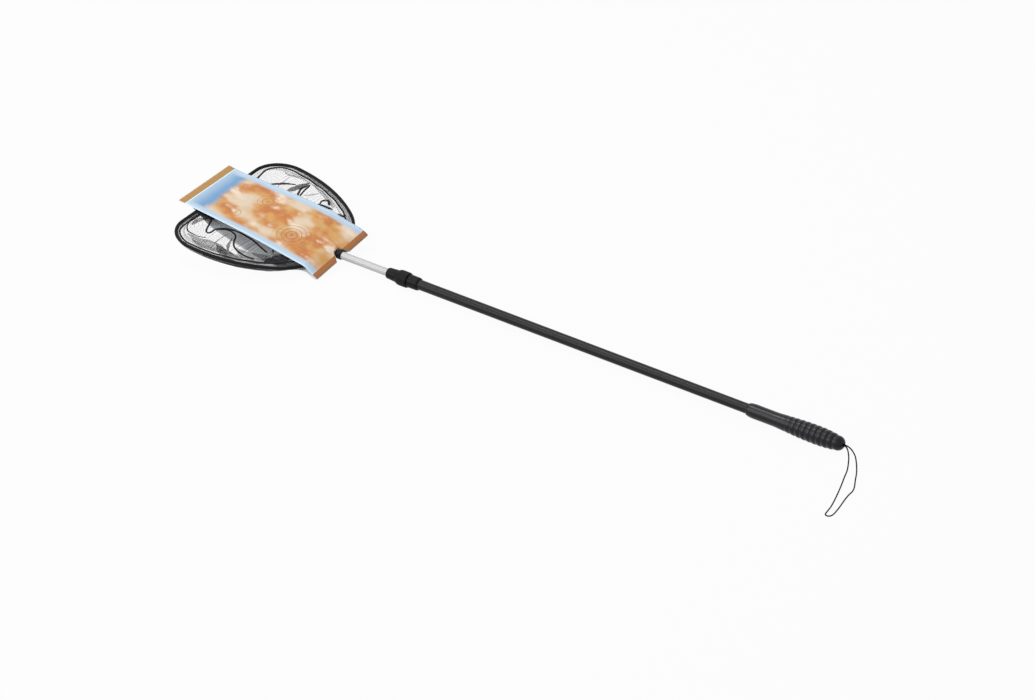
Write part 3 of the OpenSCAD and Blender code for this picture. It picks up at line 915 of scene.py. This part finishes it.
class POND_OT_neck(bpy.types.Operator):
    """Finishes the collar and its rivet"""

    bl_idname = "pond.neck"
    bl_label = "Neck"

    def execute(self, context):
        hoop = context.scene.pond_hoop
        coat(moulded("collar_plastic", hoop.rod_black, 0.44, 1700.0), "neck_socket")
        coat(moulded("rivet_paint", hoop.rod_black, 0.28, 1200.0), "socket_rivet")
        return {"FINISHED"}


class POND_OT_hoop(bpy.types.Operator):
    """Finishes the rod and makes the puckered hem that is sewn round it"""

    bl_idname = "pond.hoop"
    bl_label = "Hoop and hem"

    def execute(self, context):
        hoop = context.scene.pond_hoop
        coat(moulded("rod_coating", hoop.rod_black, 0.34, 1400.0), "hoop_rod")
        rim = RimLine(hoop)
        gone = np.linspace(hoop.hem_start, rim.total - hoop.hem_start, 640)
        u, v, in_u, in_v = rim.at(gone)
        sides, stitch, end_run = 16, 0.0046, 0.0015
        angles = ring_angles(sides)
        pucker = 0.00018 * waver(on_plane(u, v), 0.007)[:, None] * (1.3 + np.cos(angles))[None, :]
        gather = 0.00010 * np.sin(math.tau * gone / stitch)[:, None] * np.clip(np.cos(angles), 0.0, 1.0)[None, :]
        from_end = np.minimum(gone - gone[0], gone[-1] - gone)
        taper = 0.00035 * np.clip(1 - from_end / end_run, 0.0, 1.0)[:, None]
        radius = 0.5 * hoop.hem_diameter + pucker + gather - taper
        inwards, up = radius * np.cos(angles)[None, :], radius * np.sin(angles)[None, :]
        points = hoop_place(hoop, u[:, None] + in_u[:, None] * inwards, v[:, None] + in_v[:, None] * inwards, up)
        flat = flat_map(gone, np.linspace(0.0, math.pi * hoop.hem_diameter, sides + 1))
        made = surface("hem_tube", (points, flat), wrap=True, caps=True)
        dress(made, woven_tape("hem_weave", hoop.hem_black), "head", "hem_fabric", "hem_binding")
        return {"FINISHED"}


# How far the seam under the rim lies inside it: distance from the neck along the rim, then the near and the far side
SEAM_INSET = [
    (0.000, 0.016, 0.016), (0.060, 0.020, 0.017), (0.100, 0.019, 0.014), (0.140, 0.016, 0.0115),
    (0.190, 0.013, 0.0105), (0.240, 0.011, 0.0125), (0.290, 0.010, 0.0105), (0.330, 0.007, 0.0078),
    (0.360, 0.007, 0.0095), (0.400, 0.0095, 0.0155), (0.440, 0.011, 0.018), (0.470, 0.012, 0.017),
    (0.500, 0.014, 0.014),
]

# Depth of the folds that lie along the seam: place from the neck, then where the two folds turn
NEAR_FOLDS = [
    (0.000, 0.006, 0.004, 0.008, 0.006), (0.060, 0.018, 0.004, 0.014, 0.008), (0.100, 0.018, 0.004, 0.014, 0.008),
    (0.150, 0.016, 0.005, 0.013, 0.009), (0.190, 0.016, 0.006, 0.014, 0.010), (0.225, 0.018, 0.004, 0.014, 0.011),
    (0.260, 0.018, 0.003, 0.012, 0.010), (0.290, 0.018, 0.003, 0.011, 0.009), (0.320, 0.014, 0.004, 0.010, 0.008),
    (0.350, 0.009, 0.006, 0.010, 0.008), (0.385, 0.014, 0.003, 0.008, 0.006), (0.500, 0.010, 0.004, 0.008, 0.006),
]
FAR_FOLDS = [
    (0.000, 0.006, 0.004, 0.008, 0.006), (0.100, 0.012, 0.004, 0.010, 0.007), (0.160, 0.008, 0.005, 0.009, 0.007),
    (0.230, 0.006, 0.004, 0.009, 0.007), (0.270, 0.011, 0.003, 0.009, 0.007), (0.320, 0.012, 0.004, 0.009, 0.007),
    (0.350, 0.006, 0.004, 0.009, 0.007), (0.500, 0.008, 0.004, 0.008, 0.006),
]

# Pleats across the seam: place from the neck on the near (-1) or far (+1) side, width and start inwards
PLEATS = [
    (-1, 0.428, 0.0060, 0.002), (-1, 0.233, 0.0026, 0.004), (-1, 0.210, 0.0060, 0.012), (-1, 0.160, 0.0050, 0.010),
    (-1, 0.120, 0.0050, 0.006), (1, 0.232, 0.0085, 0.004), (1, 0.214, 0.0070, 0.006), (1, 0.158, 0.0055, 0.014),
    (1, 0.110, 0.0045, 0.008), (1, 0.300, 0.0030, 0.006),
]

# Seam tapes that lie on the netting, as points of the hoop's plane
TAPE_LONG = [
    (0.238, -0.066), (0.233, -0.070), (0.225, -0.090), (0.218, -0.107), (0.211, -0.110), (0.208, -0.103),
    (0.208, -0.094), (0.201, -0.086), (0.190, -0.079), (0.177, -0.079), (0.167, -0.086), (0.159, -0.102),
    (0.150, -0.113), (0.135, -0.121), (0.117, -0.123), (0.100, -0.121),
]
TAPE_SHORT = [
    (0.208, -0.091), (0.199, -0.080), (0.187, -0.074), (0.170, -0.070), (0.152, -0.071), (0.135, -0.074),
    (0.120, -0.079), (0.106, -0.084), (0.095, -0.087),
]

# Gathering of the band along the rim: distance from the neck, then the near and the far side
BAND_GATHER = [
    (0.00, 1.8, 1.7), (0.06, 2.0, 1.8), (0.10, 2.2, 1.9), (0.15, 2.3, 2.1), (0.20, 2.2, 2.6), (0.25, 2.1, 3.0),
    (0.285, 1.8, 2.0), (0.32, 1.6, 0.9), (0.36, 2.4, 0.7), (0.42, 3.2, 0.6), (0.50, 2.6, 0.6),
]

# How far the band hangs under the rod: distance from the neck, then the near and the far side
BAND_HANG = [(0.10, 0.0, 0.0), (0.14, 0.004, 0.0), (0.20, 0.005, 0.0), (0.26, 0.004, 0.0), (0.34, 0.0, 0.0)]

# Loose folds that lie on the bag: thickness, layers and gathering, then points of the hoop's plane with the width there
LOOSE_FOLDS = [
    # The first fold, along the card's near edge, is a dense roll of gathered netting that also stands as painted shadow
    # of the card's edge
    (0.0028, 2, 5.0, [(0.270, -0.068, 0.012), (0.247, -0.069, 0.015), (0.229, -0.069, 0.013)]),
    (0.0020, 1, 4.5, [(0.249, -0.110, 0.007), (0.250, -0.096, 0.009), (0.247, -0.084, 0.009), (0.238, -0.077, 0.006)]),
    (0.0018, 2, 5.0, [
        (0.259, -0.074, 0.0020), (0.261, -0.090, 0.0024), (0.258, -0.105, 0.0024), (0.251, -0.120, 0.0024),
        (0.242, -0.130, 0.0028), (0.231, -0.132, 0.0024), (0.217, -0.131, 0.0020), (0.205, -0.125, 0.0020),
    ]),
    (0.0022, 1, 3.8, [
        (0.238, -0.138, 0.006), (0.222, -0.140, 0.014), (0.207, -0.143, 0.023), (0.190, -0.141, 0.028),
        (0.172, -0.138, 0.026), (0.154, -0.140, 0.018), (0.143, -0.146, 0.008),
    ]),
    (0.0026, 1, 4.6, [
        (0.178, -0.130, 0.008), (0.160, -0.138, 0.018), (0.143, -0.142, 0.022), (0.128, -0.140, 0.018),
        (0.112, -0.135, 0.010),
    ]),
    (0.0016, 1, 5.0, [
        (0.183, -0.088, 0.0016), (0.184, -0.105, 0.0016), (0.183, -0.122, 0.0016), (0.179, -0.146, 0.0014),
    ]),
    (0.0020, 1, 5.0, [
        (0.169, -0.094, 0.0030), (0.164, -0.107, 0.0045), (0.160, -0.119, 0.0060), (0.149, -0.132, 0.0050),
    ]),
    (0.0028, 1, 3.6, [
        (0.146, -0.114, 0.008), (0.124, -0.120, 0.022), (0.106, -0.118, 0.027), (0.092, -0.108, 0.028),
        (0.079, -0.096, 0.024),
    ]),
    (0.0028, 2, 4.6, [(0.082, -0.113, 0.010), (0.073, -0.098, 0.022), (0.064, -0.084, 0.030), (0.055, -0.072, 0.028)]),
    (0.0024, 2, 4.0, [(0.125, -0.142, 0.004), (0.094, -0.127, 0.006), (0.070, -0.110, 0.006), (0.048, -0.091, 0.005)]),
    (0.0016, 1, 2.6, [
        (0.230, 0.143, 0.0030), (0.216, 0.140, 0.0045), (0.206, 0.143, 0.0050), (0.196, 0.146, 0.0050),
        (0.187, 0.150, 0.0040),
    ]),
    (0.0022, 2, 6.0, [
        (0.222, 0.093, 0.0044), (0.213, 0.102, 0.0062), (0.207, 0.109, 0.0058), (0.198, 0.117, 0.0046),
        (0.187, 0.124, 0.0024),
    ]),
    (0.0024, 1, 6.0, [(0.187, 0.095, 0.010), (0.181, 0.110, 0.013), (0.177, 0.127, 0.011), (0.172, 0.145, 0.007)]),
    (0.0024, 2, 6.0, [
        (0.164, 0.098, 0.0080), (0.168, 0.107, 0.0050), (0.172, 0.120, 0.0044), (0.168, 0.140, 0.0044),
    ]),
    (0.0022, 2, 6.0, [
        (0.160, 0.100, 0.0060), (0.163, 0.112, 0.0038), (0.165, 0.124, 0.0036), (0.166, 0.138, 0.0036),
    ]),
    (0.0014, 1, 4.0, [(0.156, 0.106, 0.0014), (0.147, 0.116, 0.0014), (0.139, 0.130, 0.0014)]),
    (0.0020, 1, 2.8, [
        (0.165, 0.145, 0.004), (0.144, 0.138, 0.008), (0.124, 0.129, 0.009), (0.110, 0.122, 0.009),
        (0.092, 0.112, 0.014),
    ]),
    (0.0024, 2, 5.0, [
        (0.117, 0.102, 0.004), (0.120, 0.114, 0.004), (0.116, 0.121, 0.005), (0.110, 0.121, 0.006),
        (0.103, 0.112, 0.008),
    ]),
    (0.0024, 2, 6.0, [(0.120, 0.100, 0.006), (0.110, 0.102, 0.007), (0.100, 0.104, 0.007), (0.090, 0.104, 0.005)]),
    (0.0026, 2, 6.0, [(0.078, 0.096, 0.004), (0.068, 0.100, 0.006), (0.059, 0.102, 0.005)]),
]


class POND_OT_netting(bpy.types.Operator):
    """Makes the fine netting pushed up into the hoop, its band, its seam and its tapes"""

    bl_idname = "pond.netting"
    bl_label = "Netting"

    # Columns round the rim, and the two ends of the line that the bag's rows run to
    columns = 480
    middle_line = (0.095, 0.200)

    def execute(self, context):
        hoop = context.scene.pond_hoop
        rim = RimLine(hoop)
        tape = woven_tape("seam_weave", hoop.hem_black)
        thread = net_thread("fine_netting", hoop.thread_black, hoop.mesh_pitch, hoop.thread_width)
        close = net_thread("band_netting", hoop.thread_black, hoop.band_pitch, hoop.band_thread)
        bag = self.make_bag(hoop, rim, thread)
        band = self.make_band(hoop, rim, close)
        seam = self.make_seam(hoop, rim, tape)
        folds = self.make_folds(hoop, thread)
        long_tape = self.make_tape(hoop, "long_tape", TAPE_LONG, tape)
        short_tape = self.make_tape(hoop, "short_tape", TAPE_SHORT, tape)
        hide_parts("seam_tape")
        return {"FINISHED"}

    def by_side(self, rim, gone, near, far):
        """Values along the rim, from a table and its column for the near half and another for the far half"""
        from_neck = rim.from_neck(gone)
        near, far = (np.interp(from_neck, *np.array(table)[:, [0, column]].T) for table, column in (near, far))
        return np.where(gone > 0.5 * rim.total, near, far)

    def seam_inset(self, rim, gone):
        """How far the seam lies inside the rim"""
        return self.by_side(rim, gone, (SEAM_INSET, 1), (SEAM_INSET, 2))

    def seam_height(self, gone):
        """Height of the wavy seam over the hoop's plane"""
        return -0.0006 + 0.0004 * np.sin(gone / 0.017) + 0.0003 * np.sin(gone / 0.0071 + 1.0)

    def make_bag(self, hoop, rim, thread):
        """The bag: rows from the seam to its middle line, folded along the seam and pleated across it"""
        gone = np.linspace(0.0, rim.total, self.columns, endpoint=False)
        u, v, in_u, in_v = rim.at(gone)
        inset = self.seam_inset(rim, gone)
        seam_u, seam_v = u + in_u * inset, v + in_v * inset
        goal_u = np.clip(seam_u, *self.middle_line)
        reach = np.hypot(goal_u - seam_u, seam_v)
        way_u, way_v = (goal_u - seam_u) / reach, -seam_v / reach
        turns = [self.by_side(rim, gone, (NEAR_FOLDS, k), (FAR_FOLDS, k)) for k in (1, 2, 3, 4)]
        gather = np.where(gone > 0.5 * rim.total, 1.4, 1.3)
        depth, walked, layer, crowd = self.fold_rows(turns, reach, gather)
        slip, lift = self.pleat_slip(rim, gone, depth, reach)
        along_u, along_v = -in_v, in_u
        place_u = seam_u[None, :] + way_u[None, :] * depth + along_u[None, :] * slip
        place_v = seam_v[None, :] + way_v[None, :] * depth + along_v[None, :] * slip
        sag_start, sag_run, sag_depth, hollow = 0.055, 0.09, 0.012, 0.0015
        sag = np.clip((depth - sag_start) / sag_run, 0.0, 1.0)
        dip = hollow * np.sin(math.pi * np.clip(depth / sag_run, 0.0, 1.0)) + sag_depth * sag * sag * (3 - 2 * sag)
        spots = on_plane(place_u, place_v)
        ripples = 0.0009 * waver(spots, 0.028) + 0.0004 * waver(spots, 0.011, 7.3)
        settle = np.clip(depth / 0.012, 0.0, 1.0)
        height = self.seam_height(gone)[None, :] - dip + ripples * settle + layer + lift
        points = hoop_place(hoop, place_u, place_v, height)
        flat_u = seam_u[None, :] + way_u[None, :] * walked
        flat_v = seam_v[None, :] + way_v[None, :] * walked
        flat = np.stack([flat_u, flat_v, crowd], axis=2)
        flat = np.concatenate([flat, flat[:, :1]], axis=1)
        made = surface("netting_bag", (points, flat), wrap=True)
        with edited(made.data) as edit:
            bmesh.ops.remove_doubles(edit, verts=edit.verts, dist=0.00012)
        # The area stated for the cut is this share of the mesh's own area
        cut_share = 0.98
        self.bag_area = mesh_area(made) * cut_share
        return dress(made, thread, "head", "netting", "net_bag")

    def fold_rows(self, turns, reach, gather):
        """Distance inwards, length walked on the cloth and height of each row, with two folds on the way.
        gather crowds the threads where the cloth is folded, and half as much past the folds."""
        first, back, second, again = turns
        stops = [np.zeros_like(reach), first, back, second, again, reach]
        heights = [0.0, 0.0, 0.0008, 0.0016, 0.0024, 0.0030]
        rows_between = (6, 6, 6, 6, 26)
        depth, walked, layer, crowd = [], [], [], []
        gone = np.zeros_like(reach)
        for k, rows in enumerate(rows_between):
            closer = gather if k < 4 else 0.5 + 0.5 * gather
            step = np.abs(stops[k + 1] - stops[k]) * closer
            for share in np.linspace(0.0, 1.0, rows, endpoint=False):
                depth.append(stops[k] + (stops[k + 1] - stops[k]) * share)
                walked.append(gone + step * share)
                crowd.append(closer)
                level = heights[k] + (heights[k + 1] - heights[k]) * min(1.0, 2.5 * share)
                layer.append(np.full_like(reach, level if k < 4 else heights[4] * max(0.0, 1 - 2.2 * share)))
            gone = gone + step
        depth.append(reach)
        walked.append(gone)
        crowd.append(closer)
        layer.append(np.zeros_like(reach))
        return np.array(depth), np.array(walked), np.array(layer), np.array(crowd)

    def pleat_slip(self, rim, gone, depth, reach):
        """Sideways slip and height of the pleats that cross the seam"""
        slip, lift = np.zeros_like(depth), np.zeros_like(depth)
        fade, ridge = 0.02, 0.0011
        for side, place, width, start in PLEATS:
            centre = place if side > 0 else rim.total - place
            spread = width / 0.8
            off = (gone - centre)[None, :] / spread
            bell = np.exp(-0.5 * off**2)
            grow = np.clip((depth - start) / fade, 0.0, 1.0) * np.clip((0.92 * reach - depth) / fade, 0.0, 1.0)
            slip -= 2.0 * spread * off * bell * grow
            lift += ridge * off * bell * grow
        return slip, lift

    def make_band(self, hoop, rim, thread):
        """The casing of mesh between the hem and the seam: over the rod's inner side, and back under it"""
        gone = np.linspace(hoop.hem_start, rim.total - hoop.hem_start, self.columns)
        u, v, in_u, in_v = rim.at(gone)
        inset = self.seam_inset(rim, gone)
        height = self.seam_height(gone)
        half = 0.5 * hoop.hem_diameter
        hang = self.by_side(rim, gone, (BAND_HANG, 1), (BAND_HANG, 2))
        crowd = self.by_side(rim, gone, (BAND_GATHER, 1), (BAND_GATHER, 2))
        top_in, top_up, gap, low_in, low_up = 0.0024, 0.0021, 0.0004, 0.0002, half + 0.0011 + hang
        end_in, end_up = low_in - half - 0.0003, 0.0006
        spread = np.linspace(0.0, 1.0, 7)
        rows_in, rows_up, rows_crowd = [], [], []
        for share in spread:
            rows_in.append(top_in + (inset - top_in) * share)
            rows_up.append(top_up + (height + gap - top_up) * share**0.7)
            rows_crowd.append(crowd)
        for share in spread[1:]:
            rows_in.append(inset * (1 - share) + low_in * share)
            rows_up.append((height - gap) * (1 - share) - low_up * share**1.5)
            rows_crowd.append(crowd * (1.0 + 200.0 * hang * share**2))
        for share in spread[2::2]:
            rows_in.append(np.full_like(gone, low_in * (1 - share) + end_in * share))
            rows_up.append(-low_up * (1 - share) - end_up * share)
            rows_crowd.append(crowd * (1.0 + 300.0 * hang))
        inwards, up, closer = np.array(rows_in), np.array(rows_up), np.array(rows_crowd)
        wave = np.linspace(0.0, 1.0, len(inwards))[:, None]
        spots = on_plane(u + in_u * inset, v + in_v * inset)
        up = up + 0.0005 * np.sin(math.pi * wave) * waver(spots, 0.009)[None, :]
        points = hoop_place(hoop, u + in_u * inwards, v + in_v * inwards, up)
        walked = np.concatenate(
            [np.zeros((1, len(gone))), np.cumsum(np.hypot(np.diff(inwards, axis=0), np.diff(up, axis=0)), axis=0)]
        )
        crowded = np.cumsum(crowd) * (gone[1] - gone[0])
        flat = np.stack([np.broadcast_to(crowded, walked.shape), walked * crowd, closer], axis=2)
        made = surface("netting_band", (points, flat))
        self.band_area = min(mesh_area(made), 0.036 * rim.total)
        return dress(made, thread, "head", "hem_fabric", "hem_skirt")

    def make_seam(self, hoop, rim, tape):
        """The sewn line between the band and the bag"""
        gone = np.linspace(hoop.hem_start, rim.total - hoop.hem_start, self.columns)
        u, v, in_u, in_v = rim.at(gone)
        inset = self.seam_inset(rim, gone) + 0.0004 * np.sin(gone / 0.0061)
        line = np.stack([u + in_u * inset, v + in_v * inset], axis=1)
        grid = self.roll(hoop, line, self.seam_height(gone), hoop.seam_width, 0.0020)
        return dress(surface("seam_line", grid, wrap=True, caps=True), tape, "head", "hem_fabric")

    def make_tape(self, hoop, name, points, tape):
        """A seam tape that lies on the netting"""
        line = even_line(smooth_line(points, 10), 110)
        height = 0.0012 + 0.0006 * waver(on_plane(*line.T), 0.02, 3.0)
        grid = self.roll(hoop, line, height, hoop.tape_width, 0.0016)
        return dress(surface(name, grid, wrap=True, caps=True), tape, "head", "hem_fabric")

    def make_folds(self, hoop, thread):
        """Loose folds of the bag: flat rolls of netting, one inside the other, with uneven edges"""
        grids = []
        for thick, layers, gather, points in LOOSE_FOLDS:
            line = even_line(smooth_line(points, 10), 60)
            spots = on_plane(line[:, 0], line[:, 1])
            taper = np.clip(np.sin(math.pi * np.linspace(0.0, 1.0, len(line))) ** 0.4, 0.25, 1.0)
            wide = line[:, 2] * taper * (1.0 + 0.25 * waver(spots, 0.012, 5.0))
            middle = line[:, :2] + 0.0010 * np.stack([waver(spots, 0.016, 1.0), waver(spots, 0.016, 9.0)], axis=1)
            height = 0.0010 + 0.0006 * waver(spots, 0.02, 3.0)
            for layer in range(layers):
                inner = 1.0 - 0.22 * layer
                grids.append(self.roll(hoop, middle, height, wide * inner, thick * inner, gather))
        return dress(surface("netting_folds", *grids, wrap=True), thread, "head", "netting")

    def roll(self, hoop, line, height, width, thick, gather=1.0):
        """A soft flat roll along a line of the hoop's plane: an oval section with slight stitches"""
        ahead = headings(line)
        side_u, side_v = -ahead[:, 1], ahead[:, 0]
        gone = run_length(line)
        sides, stitch = 12, 0.0035
        angles = ring_angles(sides)
        across, over = (0.5 * np.sign(part) * np.abs(part) ** 0.7 for part in (np.cos(angles), np.sin(angles)))
        wide = np.broadcast_to(width, len(line)) * (1.0 + 0.08 * np.sin(math.tau * gone / stitch))
        across = across[None, :] * wide[:, None]
        points = hoop_place(
            hoop,
            line[:, 0][:, None] + side_u[:, None] * across,
            line[:, 1][:, None] + side_v[:, None] * across,
            height[:, None] + thick * over[None, :],
        )
        turn = np.linspace(0.0, 2.0, sides + 1) * np.mean(width)
        flat = np.dstack([flat_map(gone, turn), np.ones((len(gone), sides + 1))]) * gather
        return points, flat


# Heights of the card over the hoop's plane against u: the front panel's edges, which the net twists, and the back
FRONT_NEAR = [
    (-0.014, -0.0101), (0.000, -0.0045), (0.010, 0.0002), (0.020, 0.0036), (0.030, 0.0039), (0.060, 0.0050),
    (0.120, 0.0074), (0.200, 0.0078), (0.250, 0.0066), (0.280, 0.0060), (0.3085, 0.0060),
]
FRONT_FAR = [
    (-0.014, 0.0109), (-0.006, 0.0144), (0.010, 0.0175), (0.029, 0.0184), (0.044, 0.0195), (0.060, 0.0215),
    (0.075, 0.0220), (0.100, 0.0205), (0.137, 0.0186), (0.170, 0.0165), (0.200, 0.0130), (0.227, 0.0120),
    (0.243, 0.0104), (0.262, 0.0084), (0.280, 0.0062), (0.3085, 0.0060),
]
BACK_LINE = [
    (-0.014, -0.0009), (0.003, -0.0055), (0.026, -0.0090), (0.060, -0.0238), (0.110, -0.0290), (0.200, -0.0205),
    (0.250, -0.0116), (0.274, -0.0044), (0.283, 0.0030), (0.293, 0.0047), (0.3085, 0.0052),
]


class POND_OT_card(bpy.types.Operator):
    """Makes the two panels of the wrap card, bent round the net, with their print"""

    bl_idname = "pond.card"
    bl_label = "Wrap card"

    def execute(self, context):
        card, hoop = context.scene.pond_card, context.scene.pond_hoop
        paper = bare_paper("bare_paper", card.paper)
        front = self.make_panel(card, hoop, "card_front_panel", self.front_height, 0.0, True)
        dress(front, [printed_side("front_print", card, 1.0), paper], "card_flap", "printed_card", "card_front")
        back = self.make_panel(card, hoop, "card_back_panel", self.back_height, 0.008, False)
        dress(back, [printed_side("back_print", card, 0.4), paper], "head", "printed_card", "card_back")
        return {"FINISHED"}

    def bent(self, line, u):
        """Height of a bent line at u"""
        line = smooth_line(line, 12)
        return np.interp(u, line[:, 0], line[:, 1])[:, None]

    def front_height(self, card, hoop, u, share):
        """The front panel is straight between its two bent edges"""
        near, far = self.bent(FRONT_NEAR, u), self.bent(FRONT_FAR, u)
        return near + (far - near) * share

    def back_height(self, card, hoop, u, share):
        """The back panel turns with the front one where they are joined at the neck, and rests on the floor"""
        run, turn = 0.017, 0.0105
        neck_end = np.exp(-(((u + card.tail) / run) ** 2))[:, None]
        height = self.bent(BACK_LINE, u) + turn * neck_end * (2 * share - 1)
        floor = -(AXIS_Z + u * math.sin(hoop.pitch)) / math.cos(hoop.pitch)
        return np.maximum(height, floor[:, None])

    def make_panel(self, card, hoop, name, height_of, tuck, print_up):
        """One panel as a grid with its notch; tuck draws its near edge in where the card bends round the bar"""
        notch_rows, rows, left_columns, notch_columns, right_columns = 9, 92, 24, 12, 21
        tuck_run, uneven = 0.022, 0.0003
        floor_u = card.notch_depth - card.tail
        u = np.concatenate(
            [np.linspace(-card.tail, floor_u, notch_rows, endpoint=False), np.linspace(floor_u, card.reach, rows)]
        )
        left = card.middle - 0.5 * card.width
        depth = np.clip((u + card.tail) / card.notch_depth, 0.0, 1.0)
        half = 0.5 * (card.notch_width + (card.notch_floor - card.notch_width) * depth)
        start = np.stack(
            [
                np.concatenate(
                    [
                        np.linspace(left, card.notch_middle - each, left_columns, endpoint=False),
                        np.linspace(card.notch_middle - each, card.notch_middle + each, notch_columns, endpoint=False),
                        np.linspace(card.notch_middle + each, left + card.width, right_columns),
                    ]
                )
                for each in half
            ]
        )
        share = (start - left) / card.width
        drawn_in = tuck * np.exp(-(((u - hoop.bar) / tuck_run) ** 2))[:, None] * (1 - share)
        v = start + ((u + card.tail) * math.tan(card.skew))[:, None] + drawn_in
        height = height_of(card, hoop, u, share)
        u_grid = np.repeat(u[:, None], start.shape[1], axis=1)
        height = height + uneven * (waver(on_plane(u_grid, v), 0.06, 2.0) + 1)
        keep = np.ones((len(u) - 1, start.shape[1] - 1), bool)
        keep[:notch_rows, left_columns : left_columns + notch_columns] = False
        flat = np.stack([card.reach - u_grid, start - left], axis=2)
        panel = surface(name, (hoop_place(hoop, u_grid, v, height), flat), keep=keep)
        self.thicken(panel, card, hoop, print_up)
        return panel

    def thicken(self, panel, card, hoop, print_up):
        """Makes the panel a closed board, printed on its outer side"""
        up = Vector((math.sin(hoop.pitch), 0.0, math.cos(hoop.pitch))) * card.thickness
        with edited(panel.data) as edit:
            lower = list(edit.faces)
            rims = [edge for edge in edit.edges if edge.is_boundary]
            copied = bmesh.ops.duplicate(edit, geom=list(edit.verts) + list(edit.edges) + lower)
            upper = [part for part in copied["geom"] if isinstance(part, bmesh.types.BMFace)]
            bmesh.ops.translate(edit, verts=[v for v in copied["geom"] if isinstance(v, bmesh.types.BMVert)], vec=up)
            above = copied["vert_map"]
            for faces, printed in ((lower, not print_up), (upper, print_up)):
                for face in faces:
                    face.material_index = 0 if printed else 1
            for edge in rims:
                a, b = edge.verts
                wall = edit.faces.new((a, b, above[b], above[a]))
                wall.material_index = 1
                wall.smooth = False
            bmesh.ops.recalc_face_normals(edit, faces=edit.faces)


class POND_PT_panel(bpy.types.Panel):
    """Lists the steps that build the net's looks and the settings that they use"""

    bl_label = "Pond net"
    bl_idname = "POND_PT_panel"
    bl_space_type = "VIEW_3D"
    bl_region_type = "UI"
    bl_category = "Pond net"

    def draw(self, context):
        for step in STEPS:
            self.layout.operator(step.bl_idname)
        for label, group in GROUPS.items():
            box = self.layout.box()
            settings = getattr(context.scene, label)
            for name in group.__annotations__:
                box.prop(settings, name)


GROUPS = {
    "pond_stage": StageSettings,
    "pond_handle": HandleSettings,
    "pond_hoop": HoopSettings,
    "pond_card": CardSettings,
}
STEPS = [
    POND_OT_stage, POND_OT_lanyard, POND_OT_tubes, POND_OT_grip, POND_OT_twist_lock, POND_OT_neck, POND_OT_hoop,
    POND_OT_netting, POND_OT_card,
]


def register():
    for each in [*GROUPS.values(), *STEPS, POND_PT_panel]:
        bpy.utils.register_class(each)
    for label, group in GROUPS.items():
        setattr(bpy.types.Scene, label, PointerProperty(type=group))


def unregister():
    for label in GROUPS:
        delattr(bpy.types.Scene, label)
    for each in reversed([*GROUPS.values(), *STEPS, POND_PT_panel]):
        bpy.utils.unregister_class(each)


def main():
    register()
    for step in STEPS:
        getattr(bpy.ops.pond, step.bl_idname.split(".")[1])()


if __name__ == "__main__":
    main()
